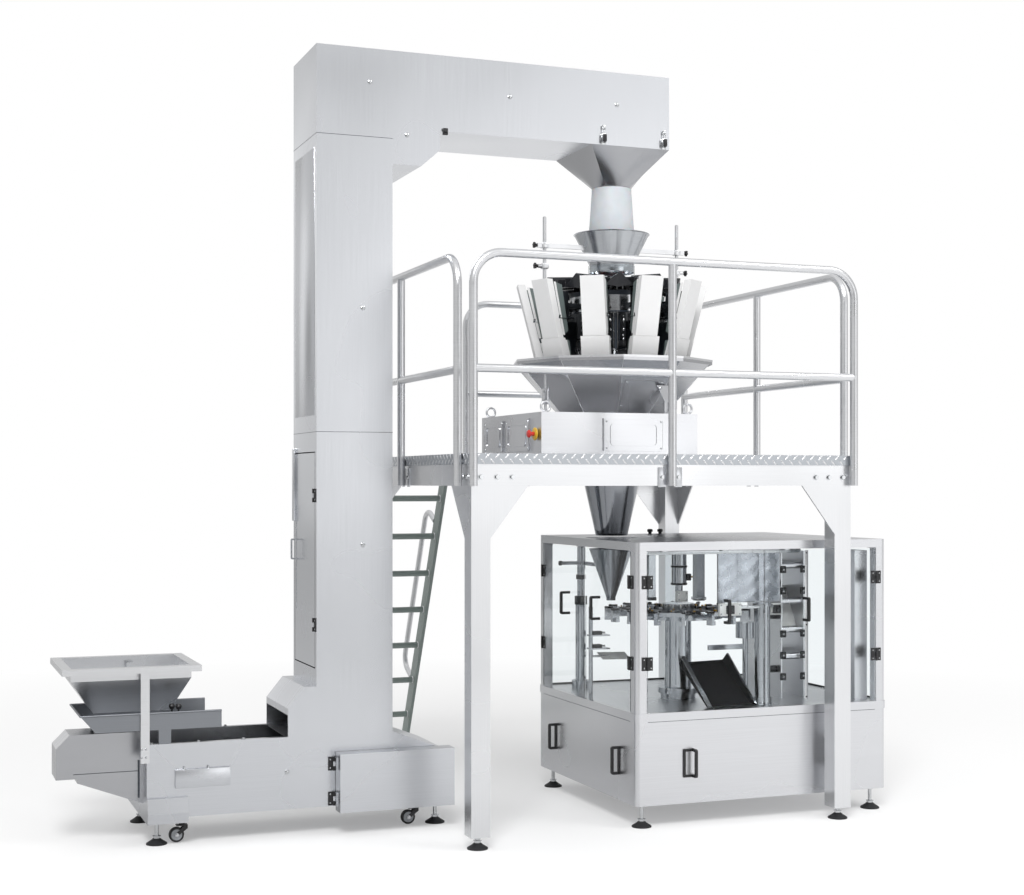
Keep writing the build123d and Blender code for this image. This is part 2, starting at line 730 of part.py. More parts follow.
def make_posts():
    solids = []
    for ends in post_places():
        for i, (x, y) in enumerate(ends):
            top = TOP_RAIL_Z - RAIL_BEND
            if i == 1:
                top = TOP_RAIL_Z - RAIL_R + POST_SADDLE
            post = rod_z(x, y, BEAM_BOTTOM, top, RAIL_R)
            if i == 1:
                post -= rail_bar(ends, TOP_RAIL_Z, RAIL_R + PIN_PLAY)
            solids.append(post)
    return solids


def rail_bar(ends, z, radius):
    (x0, y0), (x1, y1) = ends[0], ends[2]
    if x0 == x1:
        return rod_y(x0, y0, y1, z, radius)
    return rod_x(x0, x1, y0, z, radius)


def make_top_rails():
    solids = []
    for ends in post_places():
        (x0, y0), (x1, y1) = ends[0], ends[2]
        low = TOP_RAIL_Z - RAIL_BEND
        points = [(x0, y0, low), (x0, y0, TOP_RAIL_Z), (x1, y1, TOP_RAIL_Z), (x1, y1, low)]
        path = FilletPolyline(*points, radius=RAIL_BEND - BLEND)
        profile = Plane(origin=points[0], z_dir=(0, 0, 1)) * Circle(RAIL_R)
        solids.append(sweep(profile, path=path))
    return solids


def make_mid_rails():
    solids = []
    for ends in post_places():
        for (x0, y0), (x1, y1) in ((ends[0], ends[1]), (ends[1], ends[2])):
            if x0 == x1:
                rail = rod_y(x0, y0, y1, MID_RAIL_Z, RAIL_R - BLEND)
            else:
                rail = rod_x(x0, x1, y0, MID_RAIL_Z, RAIL_R - BLEND)
            for x, y in ((x0, y0), (x1, y1)):
                rail -= rod_z(x, y, MID_RAIL_Z - RAIL_OD, MID_RAIL_Z + RAIL_OD, RAIL_R + PIN_PLAY)
            solids.append(rail)
    return solids


# Ladder: its foot stands on the floor behind the platform
LADDER_TOP_Y = SPAN_Y + HALF_LEG + DECK_OVERHANG + FIT
LADDER_FOOT_Y = LADDER_TOP_Y + LADDER_RUN
LADDER_SLOPE = math.atan2(DECK_TOP, LADDER_RUN)


def ladder_y(z):
    return LADDER_FOOT_Y - z / math.tan(LADDER_SLOPE)


def make_stringers():
    width = STRINGER_WIDTH / math.sin(LADDER_SLOPE)
    top = DECK_TOP
    outline = [(LADDER_FOOT_Y, 0), (LADDER_FOOT_Y + width, 0),
               (LADDER_TOP_Y + width, top), (LADDER_TOP_Y, top)]
    return [plate_yz(outline, x, x + STRINGER_PLATE)
            for x in (LADDER_X0, LADDER_X1 - STRINGER_PLATE)]


def make_rungs():
    solids = []
    shift = STRINGER_WIDTH / math.sin(LADDER_SLOPE) / 2
    for i in range(RUNG_COUNT):
        z = DECK_TOP * (i + 1) / (RUNG_COUNT + 1)
        solids.append(rod_x(LADDER_X0 + STRINGER_PLATE, LADDER_X1 - STRINGER_PLATE,
                            ladder_y(z) + shift, z, RUNG_OD / 2))
    return solids


def make_handrails():
    solids = []
    ny = math.sin(LADDER_SLOPE)
    nz = math.cos(LADDER_SLOPE)
    width = STRINGER_WIDTH / math.sin(LADDER_SLOPE)
    low = HANDRAIL_LOW
    high = DECK_TOP - HANDRAIL_BELOW_DECK
    for x in (LADDER_X0 + STRINGER_PLATE / 2, LADDER_X1 - STRINGER_PLATE / 2):
        def spot(z, out):
            return (x, ladder_y(z) + width + ny * out, z + nz * out)
        points = [spot(low, 0), spot(low, HANDRAIL_STANDOFF),
                  spot(high, HANDRAIL_STANDOFF), spot(high, 0)]
        path = FilletPolyline(*points, radius=HANDRAIL_BEND)
        profile = Plane(origin=points[0], z_dir=(0, ny, nz)) * Circle(HANDRAIL_OD / 2)
        solids.append(sweep(profile, path=path))
    return solids


# Levelling feet


def foot_places():
    feet = []
    for x in (0, SPAN_X):
        for y in (0, SPAN_Y):
            feet.append((x, y, LEG_BOTTOM))
    for x in ELEV_FEET_X:
        for y in (FRONT_FOOT_Y, BACK_FOOT_Y):
            feet.append((x, y, OUTRIGGER_BOTTOM))
    for x in (PACK_X0 + CORNER_POST, PACK_X1 - CORNER_POST):
        for y in (PACK_Y0 + CORNER_POST, PACK_Y1 - CORNER_POST):
            feet.append((x, y, PACK_BOTTOM))
    return feet


def make_pads():
    profile = [(0, 0), (PAD_RADIUS, 0), (PAD_RADIUS, PAD_RIM),
               (PAD_RADIUS * 0.55, PAD_HEIGHT * 0.7), (PAD_RADIUS * 0.34, PAD_HEIGHT),
               (0, PAD_HEIGHT)]
    pad = turned(profile)
    return [Pos(x, y, 0) * pad for x, y, _ in foot_places()]


def make_spindles():
    solids = []
    for x, y, top in foot_places():
        stem = rod_z(x, y, PAD_HEIGHT, top, SPINDLE_RADIUS)
        nut = extrude(Pos(x, y, top - NUT_HEIGHT) * RegularPolygon(NUT_RADIUS, 6), NUT_HEIGHT)
        solids.append(stem + nut)
    return solids


# Bucket elevator


def make_elevator_base():
    outline = [(BASE_X0, BASE_BOTTOM), (BASE_X0, BASE_TOP), (COLUMN_X1, BASE_TOP),
               (BASE_X1, BASE_END_TOP), (BASE_X1, BASE_BOTTOM)]
    base = plate_xz(outline, ELEV_Y0, ELEV_Y1)
    inner = [(BASE_X0 + SHEET, BASE_BOTTOM + SHEET), (BASE_X0 + SHEET, BASE_TOP - SHEET),
             (COLUMN_X1, BASE_TOP - SHEET), (BASE_X1 - SHEET, BASE_END_TOP - SHEET),
             (BASE_X1 - SHEET, BASE_BOTTOM + SHEET)]
    base -= plate_xz(inner, ELEV_Y0 + SHEET, ELEV_Y1 - SHEET)
    lid_z0 = BASE_TOP - SHEET - BLEND
    lid_z1 = BASE_TOP + BLEND
    base -= block(BASE_X0 + LIP, CHANNEL_END, ELEV_Y0 + LIP, ELEV_Y1 - LIP, lid_z0, lid_z1)
    base -= block(COLUMN_X0 + SHEET, COLUMN_X1 - SHEET, ELEV_Y0 + SHEET, ELEV_Y1 - SHEET,
                  lid_z0, lid_z1)
    low = OUTRIGGER_BOTTOM
    for x in OUTRIGGER_STARTS:
        base += block(x, x + OUTRIGGER_WIDTH, ELEV_Y0, ELEV_Y1 + OUTRIGGER_BACK,
                      low, BASE_BOTTOM + BLEND)
    front = ELEV_Y0 - OUTRIGGER_FRONT
    top = BASE_BOTTOM + OUTRIGGER_UPSTAND
    bend = [(ELEV_Y0 + BLEND, low), (front + OUTRIGGER_FOLD, low), (front, low + OUTRIGGER_TOE),
            (front + OUTRIGGER_LEAN, top), (ELEV_Y0 + BLEND, top)]
    x = OUTRIGGER_STARTS[0]
    base += plate_yz(bend, x, x + OUTRIGGER_WIDTH)
    return base


def make_trough():
    """Closed tail housing, narrower than the base, with a sloping skirt below it."""
    x0 = TROUGH_X0
    z0 = TROUGH_BOTTOM
    z1 = TROUGH_TOP
    outline = [(x0, z0), (x0, z1 - TROUGH_CHAMFER), (x0 + TROUGH_CHAMFER, z1), (BASE_X0, z1),
               (BASE_X0, z0 - SKIRT_DROP), (SKIRT_X0, z0 - SKIRT_STEP), (SKIRT_X0, z0)]
    return plate_xz(outline, TROUGH_Y0, TROUGH_Y0 + TROUGH_DEPTH)


def make_hopper():
    x1 = HOPPER_X0 + HOPPER_WIDTH
    y0 = ELEV_Y0 - BAR_PLATE
    y1 = y0 + HOPPER_DEPTH
    mid_x = (HOPPER_X0 + x1) / 2
    mid_y = (y0 + y1) / 2
    half_w = HOPPER_WIDTH / 2 - FLANGE_WIDTH
    half_d = HOPPER_DEPTH / 2 - FLANGE_WIDTH
    z_flange = HOPPER_TOP - FLANGE_HEIGHT
    z_skirt = z_flange - HOPPER_SKIRT

    def bowl(inset, top):
        w = half_w - inset
        d = half_d - inset
        skirt = block(mid_x - w, mid_x + w, mid_y - d, mid_y + d, z_skirt, top)
        rim = Pos(mid_x, mid_y, z_skirt) * Rectangle(2 * w, 2 * d)
        outlet = Pos(mid_x + OUTLET_SHIFT, mid_y, OUTLET_Z)
        outlet *= Rectangle(OUTLET_X - 2 * inset, OUTLET_Y - 2 * inset)
        return skirt + loft([rim, outlet])

    body = block(HOPPER_X0, x1, y0, y1, z_flange, HOPPER_TOP)
    body += bowl(0, HOPPER_TOP - BLEND)
    body -= bowl(SHEET, HOPPER_TOP + BLEND)
    for bar_y in (y0, ELEV_Y1):
        body += block(BAR_X0, BAR_X0 + BAR_WIDTH, bar_y, bar_y + BAR_PLATE,
                      BAR_BOTTOM, z_flange + BLEND)
    return body


def make_tray():
    """Open pan on springs that stand on the tail housing and the base's rim."""
    y0 = TRAY_Y0
    y1 = y0 + TRAY_DEPTH
    outline = [(TRAY_X0, TRAY_RIM), (TRAY_X0 + TRAY_SLOPE, TRAY_FLOOR),
               (TRAY_X1, TRAY_FLOOR), (TRAY_X1, TRAY_RIM)]
    tray = plate_xz(outline, y0, y1)
    floor = TRAY_FLOOR + SHEET
    above = TRAY_RIM + BLEND
    inner = [(TRAY_X0 + SHEET, above), (TRAY_X0 + TRAY_SLOPE + SHEET, floor),
             (TRAY_X1 + BLEND, floor), (TRAY_X1 + BLEND, above)]
    tray -= plate_xz(inner, y0 + SHEET, y1 - SHEET)
    top = TRAY_FLOOR + BLEND
    trough_y1 = TROUGH_Y0 + TROUGH_DEPTH
    for x in (TRAY_X0 + TRAY_SLOPE + LIP, BASE_X0 - SPRING_LENGTH - LIP):
        for y in (TROUGH_Y0 + LIP, trough_y1 - LIP - SPRING_WIDTH):
            tray += block(x, x + SPRING_LENGTH, y, y + SPRING_WIDTH, TROUGH_TOP + FIT, top)
    x = BASE_X0 + SPRING_INSET
    tray += block(x, x + SPRING_LENGTH, y0, ELEV_Y0 + LIP, BASE_TOP + FIT, top)
    return tray


def make_column():
    column = block(COLUMN_X0, COLUMN_X1, ELEV_Y0, ELEV_Y1, BASE_TOP, COLUMN_TOP)
    column -= block(COLUMN_X0 + SHEET, COLUMN_X1 - SHEET, ELEV_Y0 + SHEET, ELEV_Y1 - SHEET,
                    BASE_TOP - BLEND, COLUMN_TOP + BLEND)
    wall_x0 = COLUMN_X0 - BLEND
    wall_x1 = COLUMN_X0 + SHEET + BLEND
    margin = CDOOR_MARGIN - DOOR_GAP
    column -= block(wall_x0, wall_x1, ELEV_Y0 + margin, ELEV_Y1 - margin,
                    CDOOR_Z0 - DOOR_GAP, CDOOR_Z1 + DOOR_GAP)
    column -= block(wall_x0, wall_x1, ELEV_Y0 + LIP, ELEV_Y1 - LIP,
                    BASE_TOP - BLEND, BASE_TOP + HOOD_MOUTH)
    return column


def make_hood():
    outline = [(HOOD_FOOT_X, BASE_TOP), (HOOD_FOOT_X, HOOD_SHOULDER_Z), (HOOD_TOP_X, HOOD_TOP_Z),
               (COLUMN_X0, HOOD_TOP_Z), (COLUMN_X0, BASE_TOP)]
    hood = plate_xz(outline, ELEV_Y0, ELEV_Y1)
    mouth = BASE_TOP + HOOD_MOUTH
    lid = HOOD_TOP_Z - SHEET
    inner = [(HOOD_FOOT_X - BLEND, BASE_TOP - BLEND), (HOOD_FOOT_X - BLEND, mouth),
             (HOOD_FOOT_X + SHEET, mouth), (HOOD_FOOT_X + SHEET, HOOD_SHOULDER_Z - SHEET / 2),
             (HOOD_TOP_X + SHEET / 2, lid), (COLUMN_X0 + BLEND, lid),
             (COLUMN_X0 + BLEND, BASE_TOP - BLEND)]
    hood -= plate_xz(inner, ELEV_Y0 + SHEET, ELEV_Y1 - SHEET)
    return hood


def make_head():
    head = block(COLUMN_X0, HEAD_X1, ELEV_Y0, ELEV_Y1, HEAD_BOTTOM, HEAD_TOP)
    head += block(COLUMN_X0, COLUMN_X1, ELEV_Y0, ELEV_Y1, COLUMN_TOP, HEAD_BOTTOM + BLEND)
    head -= block(COLUMN_X0 + SHEET, HEAD_X1 - SHEET, ELEV_Y0 + SHEET, ELEV_Y1 - SHEET,
                  HEAD_BOTTOM + SHEET, HEAD_TOP - SHEET)
    floor_z1 = HEAD_BOTTOM + SHEET + BLEND
    head -= block(COLUMN_X0 + SHEET, COLUMN_X1 - SHEET, ELEV_Y0 + SHEET, ELEV_Y1 - SHEET,
                  COLUMN_TOP - BLEND, floor_z1)
    head -= block(HEAD_X1 - CHUTE_WIDTH + LIP, HEAD_X1 - LIP, ELEV_Y0 + LIP, ELEV_Y1 - LIP,
                  HEAD_BOTTOM - BLEND, floor_z1)
    low = HEAD_BOTTOM - CORNER_PLATE_DROP
    tip = COLUMN_X1 + CORNER_PLATE_REACH
    corner = [(COLUMN_X1, low), (COLUMN_X1, HEAD_BOTTOM + BLEND), (tip, HEAD_BOTTOM + BLEND),
              (tip, HEAD_BOTTOM - CORNER_PLATE_EDGE), (COLUMN_X1 + CORNER_PLATE_FOOT, low)]
    head += plate_xz(corner, ELEV_Y0, ELEV_Y1)
    return head


def make_discharge_chute():
    x_mid = HEAD_X1 - CHUTE_WIDTH / 2

    def shell(inset, bottom):
        top = Pos(x_mid, ELEV_MID_Y, HEAD_BOTTOM) * Rectangle(CHUTE_WIDTH - 2 * inset,
                                                              ELEV_DEPTH - 2 * inset)
        radius = CHUTE_RING_RADIUS - inset
        ring = Pos(AXIS_X, AXIS_Y, CHUTE_RING_Z) * Circle(radius)
        return loft([top, ring]) + rod_z(AXIS_X, AXIS_Y, bottom, CHUTE_RING_Z + BLEND, radius)

    return shell(0, CUFF_BOTTOM) - shell(FUNNEL_WALL, CUFF_BOTTOM - BLEND)


def make_sleeve():
    """Straight cuff on the chute's ring, then a skirt that widens downwards."""
    inside = CHUTE_RING_RADIUS + FIT
    outside = inside + SLEEVE_WALL
    profile = [(inside, CUFF_TOP), (outside, CUFF_TOP), (outside, CUFF_BOTTOM),
               (SLEEVE_BOTTOM_RADIUS, SLEEVE_BOTTOM),
               (SLEEVE_BOTTOM_RADIUS - SLEEVE_WALL, SLEEVE_BOTTOM), (inside, CUFF_BOTTOM)]
    return Pos(AXIS_X, AXIS_Y, 0) * turned(profile)


def chain_path():
    """Corner points of the Z-shaped chain loop."""
    up_x = COLUMN_X0 + CHAIN_INSET
    down_x = COLUMN_X1 - CHAIN_INSET
    low_far = BASE_BOTTOM + CHAIN_CLEARANCE
    low_near = BASE_TOP - CHAIN_CLEARANCE
    tail_x = BASE_X0 + CHAIN_RETURN_CLEARANCE
    top_far = HEAD_TOP - CHAIN_CLEARANCE
    top_near = HEAD_BOTTOM + CHAIN_RETURN_CLEARANCE
    head_end = HEAD_X1 - CHAIN_HEAD_CLEARANCE
    return [(tail_x, low_near), (up_x, low_near), (up_x, top_far), (head_end, top_far),
            (head_end, top_near), (down_x, top_near), (down_x, low_far), (tail_x, low_far)]


def sprocket_places():
    """Middles of the four sprockets on which the chain's outer corners turn."""
    corners = chain_path()
    places = []
    for i, sx, sz in ((7, 1, 1), (2, 1, -1), (3, -1, -1), (6, -1, 1)):
        x, z = corners[i]
        places.append((x + sx * CHAIN_BEND, z + sz * CHAIN_BEND))
    return places


def make_bucket_chain():
    points = [(x, 0, z) for x, z in chain_path()]
    loop = FilletPolyline(*points, radius=CHAIN_BEND, close=True)
    face = make_face(loop)
    band_face = offset(face, amount=CHAIN_BAND / 2) - offset(face, amount=-CHAIN_BAND / 2)
    y_left = ELEV_Y0 + CHAIN_INSET - CHAIN_PLATE
    y_right = ELEV_Y1 - CHAIN_INSET
    bands = [extrude(Pos(0, y, 0) * band_face, amount=CHAIN_PLATE, dir=(0, 1, 0))
             for y in (y_left, y_right)]
    wall = BUCKET_WALL
    top = BUCKET_LENGTH / 2
    foot = top * BUCKET_TAPER
    floor = BUCKET_RIM - BUCKET_HEIGHT
    profile = [(-top, BUCKET_RIM), (-foot, floor), (foot, floor), (top, BUCKET_RIM)]
    cup = plate_xz(profile, y_left + CHAIN_PLATE - BLEND, y_right + BLEND)
    inside = [(-top + wall, BUCKET_RIM + BLEND), (-foot + wall, floor + wall),
              (foot - wall, floor + wall), (top - wall, BUCKET_RIM + BLEND)]
    cup -= plate_xz(inside, y_left + CHAIN_PLATE + wall, y_right - wall)
    count = int(loop.length / BUCKET_PITCH)
    cups = []
    for i in range(count):
        spot = loop @ (i / count)
        cups.append(Pos(spot.X, 0, spot.Z) * cup)
    shafts = []
    for x, z in sprocket_places():
        shafts.append(rod_y(x, ELEV_Y0 + SHEET + FIT, ELEV_Y1 - SHEET - FIT, z,
                            CHAIN_BEND - CHAIN_BAND / 2 + BLEND))
    return bands[0] + bands[1] + cups + shafts


def make_column_door():
    y0 = ELEV_Y0 + CDOOR_MARGIN
    y1 = ELEV_Y1 - CDOOR_MARGIN
    door = block(COLUMN_X0, COLUMN_X0 + CDOOR_THICK, y0, y1, CDOOR_Z0, CDOOR_Z1)
    door -= block(COLUMN_X0 + SHEET, COLUMN_X0 + CDOOR_THICK + BLEND, y0 + SHEET, y1 - SHEET,
                  CDOOR_Z0 + SHEET, CDOOR_Z1 - SHEET)
    face = COLUMN_X0 + CDOOR_RECESS
    door -= block(COLUMN_X0 - BLEND, face, y0 + CDOOR_PANEL_MARGIN, y1 - CDOOR_PANEL_MARGIN,
                  CDOOR_Z0 + CDOOR_PANEL_INSET, CDOOR_Z1 - CDOOR_PANEL_INSET)
    _, moving = hinge()
    for z in (CDOOR_Z0 + CDOOR_HINGE_INSET, CDOOR_Z1 - CDOOR_HINGE_INSET):
        door += Pos(*COLUMN_PIN, z) * Rot(0, 0, 90) * mirror(moving, Plane.XZ)
    grip = c_handle(CDOOR_HANDLE_HEIGHT, CDOOR_HANDLE_STANDOFF, CDOOR_HANDLE_BAR)
    place = Pos(face + BLEND, y1 - CDOOR_HANDLE_INSET, CDOOR_Z0 + CDOOR_HANDLE_RISE)
    door += place * Rot(0, 0, -90) * grip
    return door


def make_drive_cover():
    y0 = ELEV_Y0 - DRIVE_DEPTH
    y1 = ELEV_Y0 - DOOR_GAP
    cover = block(DRIVE_X0, DRIVE_X1, y0, y1, DRIVE_Z0, DRIVE_Z1)
    cover -= block(DRIVE_X0 + SHEET, DRIVE_X1 - SHEET, y0 + SHEET, y1 + BLEND,
                   DRIVE_Z0 + SHEET, DRIVE_Z1 - SHEET)
    leaf = corner_leaf()
    for z in (DRIVE_Z0 + DRIVE_HINGE_INSET, DRIVE_Z1 - DRIVE_HINGE_INSET):
        cover += Pos(*DRIVE_PIN, z) * leaf
    return cover


def corner_leaf():
    """Moving leaf that lies on a wall square to the fixed leaf."""
    third = HINGE_HEIGHT / 3
    root = KNUCKLE_RADIUS + PIN_PLAY + KNUCKLE_GAP
    leaf = block(PIN_STANDOFF - HINGE_PLATE, PIN_STANDOFF + BLEND,
                 -HINGE_LEAF - KNUCKLE_WEB, KNUCKLE_WEB - root, -HINGE_HEIGHT / 2, HINGE_HEIGHT / 2)
    for side in (-1, 1):
        centre = side * third
        leaf -= rod_z(0, 0, centre - third / 2 - FIT, centre + third / 2 + FIT, root)
    leaf += rod_z(0, 0, -third / 2, third / 2, KNUCKLE_RADIUS)
    leaf -= rod_z(0, 0, -third / 2, third / 2, HINGE_PIN + PIN_PLAY)
    return leaf


# Casters under the elevator's outriggers


def caster_places():
    places = []
    for x, s in zip(ELEV_FEET_X, (1, -1)):
        for y in (FRONT_FOOT_Y, BACK_FOOT_Y):
            places.append((x + s * CASTER_INSET, y))
    return places


def make_caster(x, y):
    axle_z = WHEEL_RADIUS + WHEEL_LIFT
    half = WHEEL_WIDTH / 2 + FORK_SIDE_GAP
    top = axle_z + WHEEL_RADIUS + 2 * FORK_PLATE
    boss = 2.4 * AXLE_RADIUS
    cheek = [(FORK_CROWN / 2, top), (-CASTER_TRAIL - boss, axle_z), (-CASTER_TRAIL, axle_z - boss),
             (-CASTER_TRAIL + boss, axle_z), (FORK_CROWN, top - FORK_CROWN / 2), (FORK_CROWN, top)]
    fork = plate_xz(cheek, half, half + FORK_PLATE)
    fork += plate_xz(cheek, -half - FORK_PLATE, -half)
    fork += block(-FORK_CROWN, FORK_CROWN, -half - FORK_PLATE, half + FORK_PLATE,
                  top - BLEND, top + FORK_PLATE)
    fork += rod_z(0, 0, top, CASTER_TOP - SWIVEL_PLATE - FIT, FORK_NECK_RADIUS)
    fork += rod_y(-CASTER_TRAIL, -half - FORK_PLATE, half + FORK_PLATE, axle_z, AXLE_RADIUS)
    wheel = rod_y(-CASTER_TRAIL, -WHEEL_WIDTH / 2, WHEEL_WIDTH / 2, axle_z, WHEEL_RADIUS)
    wheel = fillet(wheel.edges().filter_by(GeomType.CIRCLE), WHEEL_EDGE)
    wheel -= rod_y(-CASTER_TRAIL, -WHEEL_WIDTH, WHEEL_WIDTH, axle_z, AXLE_RADIUS + PIN_PLAY)
    return Pos(x, y, 0) * fork, Pos(x, y, 0) * wheel


def make_caster_plates():
    plates = []
    for x, y in caster_places():
        plates.append(block(x - SWIVEL_LENGTH / 2, x + SWIVEL_LENGTH / 2,
                            y - SWIVEL_WIDTH / 2, y + SWIVEL_WIDTH / 2,
                            CASTER_TOP - SWIVEL_PLATE, CASTER_TOP))
    return plates


# Weigher


def radial(points, width, angle):
    """Outline of (radius, z) points, drawn out across the radius at an angle."""
    body = plate_xz(points, -width / 2, width / 2)
    return Pos(AXIS_X, AXIS_Y, 0) * Rot(0, 0, angle) * body


def head_angles():
    return [-90 + 360 / HEADS * i for i in range(HEADS)]


def decagon(radius, z):
    face = RegularPolygon(radius, HEADS, major_radius=True)
    return Pos(AXIS_X, AXIS_Y, z) * Rot(0, 0, -90 + 180 / HEADS) * face


def make_weigher_base():
    base = block(WBASE_X0, WBASE_X1, WBASE_Y0, WBASE_Y1, DECK_TOP, WBASE_TOP)
    outlet = DISCHARGE_TOP_RADIUS + DISCHARGE_FLANGE + FLANGE_PLAY
    bore = [(0, DECK_TOP), (outlet, DECK_TOP), (WBASE_BORE, WBASE_TOP), (0, WBASE_TOP)]
    base -= Pos(AXIS_X, AXIS_Y, 0) * turned(bore)
    z0 = DECK_TOP + HATCH_LOW
    z1 = WBASE_TOP - HATCH_HIGH
    start, width = FRONT_HATCH
    x0 = WBASE_X0 + start
    base += block(x0, x0 + width, WBASE_Y0 - HATCH_PROUD, WBASE_Y0 + BLEND, z0, z1)
    for start, width in SIDE_HATCHES:
        y0 = WBASE_Y0 + start
        base += block(WBASE_X0 - HATCH_PROUD, WBASE_X0 + BLEND, y0, y0 + width, z0, z1)
    ring_z = WBASE_TOP + EYE_RADIUS + EYE_WIRE - 2 * BLEND
    for x in (WBASE_X0 + EYE_INSET, WBASE_X1 - EYE_INSET):
        for y in (WBASE_Y0 + EYE_INSET, WBASE_Y1 - EYE_INSET):
            base += Pos(x, y, ring_z) * Rot(90, 0, 0) * Torus(EYE_RADIUS, EYE_WIRE)
            base += rod_z(x, y, WBASE_TOP - BLEND, WBASE_TOP + EYE_WIRE, EYE_COLLAR)
    return base


def make_collecting_chute():
    def shell(inset, bottom, top):
        return loft([decagon(CHUTE_FOOT_RADIUS - inset, bottom), decagon(RIM_RADIUS - inset, top)])

    chute = shell(0, WBASE_TOP, RIM_Z) - shell(CHUTE_SHEET, WBASE_TOP, RIM_Z)
    lip = extrude(decagon(RIM_RADIUS, RIM_Z - RIM_LIP), RIM_LIP)
    lip -= extrude(decagon(RIM_RADIUS - CHUTE_SHEET, RIM_Z - RIM_LIP - BLEND), RIM_LIP + 2 * BLEND)
    lip -= shell(0, WBASE_TOP, RIM_Z)
    chute += lip
    return chute


SPIDER_ANGLES = (0, 72, 108, 180, 252, 288)


def chute_wall_radius(z):
    share = (z - WBASE_TOP) / (RIM_Z - WBASE_TOP)
    return CHUTE_FOOT_RADIUS + share * (RIM_RADIUS - CHUTE_FOOT_RADIUS) - CHUTE_SHEET


def make_core():
    z0 = RIM_Z - SPIDER_HEIGHT
    profile = [(0, z0), (CORE_FOOT_RADIUS, z0), (CORE_RADIUS, RIM_Z + CORE_SHOULDER),
               (CORE_RADIUS, CORE_TOP), (DRUM_RADIUS, CORE_TOP), (DRUM_RADIUS, DRUM_TOP),
               (TOP_CONE_RADIUS, DRUM_TOP), (TOP_CONE_RADIUS, DRUM_TOP + TOP_CONE_WALL),
               (0, TOP_CONE_TOP)]
    core = Pos(AXIS_X, AXIS_Y, 0) * turned(profile)
    play = FIT + SPIDER_PLATE / 2 * math.tan(math.pi / HEADS)
    for angle in SPIDER_ANGLES:
        points = [(SPIDER_ROOT, z0), (chute_wall_radius(z0) - play, z0),
                  (chute_wall_radius(RIM_Z) - play, RIM_Z), (SPIDER_ROOT, RIM_Z)]
        core += radial(points, SPIDER_PLATE, angle)
    return core


def make_pans():
    solids = []
    z0 = DRUM_TOP + PAN_RISE
    z1 = z0 - PAN_FALL
    leg_r0 = DRUM_RADIUS - PAN_LEG_INSET
    leg_r1 = leg_r0 + PAN_LEG_LENGTH
    leg_top = z0 - 2 * BLEND
    for angle in head_angles():
        points = [(PAN_R0, z0), (PAN_R1, z1), (PAN_R1, z1 + PAN_HEIGHT), (PAN_R0, z0 + PAN_HEIGHT)]
        inside = [(PAN_R0 + PAN_WALL, z0 + PAN_WALL), (PAN_R1 + BLEND, z1 + PAN_WALL),
                  (PAN_R1 + BLEND, z1 + 2 * PAN_HEIGHT), (PAN_R0 + PAN_WALL, z0 + 2 * PAN_HEIGHT)]
        pan = radial(points, PAN_WIDTH, angle)
        pan -= radial(inside, PAN_WIDTH - 2 * PAN_WALL, angle)
        leg = [(leg_r0, DRUM_TOP), (leg_r1, DRUM_TOP), (leg_r1, leg_top), (leg_r0, leg_top)]
        pan += radial(leg, PAN_LEG_WIDTH, angle)
        solids.append(pan)
    return solids


def cover_radius(z):
    share = (z - COVER_BOTTOM) / (COVER_TOP - COVER_BOTTOM)
    return COVER_R0 + share * (COVER_R1 - COVER_R0)


def make_head_covers():
    solids = []
    for angle in head_angles():
        upper = [(COVER_R0, COVER_BOTTOM), (COVER_R1, COVER_TOP), (COVER_R1 - COVER_THICK, COVER_TOP),
                 (COVER_R0 - COVER_THICK, COVER_BOTTOM)]
        solids.append(radial(upper, COVER_WIDTH, angle))
        z1 = COVER_BOTTOM - LOWER_GAP
        lower = [(LOWER_R0, LOWER_BOTTOM), (COVER_R0, z1), (COVER_R0 - COVER_THICK, z1),
                 (LOWER_R0 - COVER_THICK, LOWER_BOTTOM)]
        solids.append(radial(lower, LOWER_WIDTH, angle))
    return solids


def hanger(r0, r1, z0, angle):
    """Square bar that carries a hopper from the weigher's middle."""
    points = [(r0, z0), (r1, z0), (r1, z0 + HANGER_HEIGHT), (r0, z0 + HANGER_HEIGHT)]
    return radial(points, HANGER_WIDTH, angle)


def make_feed_hopper(angle):
    t = HOPPER_SHEET
    z0 = COVER_BOTTOM + FEED_HOPPER_LOW
    z1 = COVER_TOP - FEED_HOPPER_HIGH
    r0 = cover_radius(z0) - COVER_THICK
    r1 = cover_radius(z1) - COVER_THICK
    rear0 = r0 - FEED_HOPPER_DEPTH * FEED_HOPPER_TAPER
    rear1 = r1 - FEED_HOPPER_DEPTH
    outer = [(r0, z0), (r1, z1), (rear1, z1), (rear0, z0)]
    inner = [(r0 - t, z0 + t), (r1 - t, z1 + BLEND), (rear1 + t, z1 + BLEND), (rear0 + t, z0 + t)]
    width = COVER_WIDTH - FEED_HOPPER_SLACK
    feed = radial(outer, width, angle)
    feed += hanger(DRUM_RADIUS, rear0 + HANGER_WIDTH, z0 + FEED_HANGER_RISE, angle)
    feed -= radial(inner, width - 2 * t, angle)
    return feed


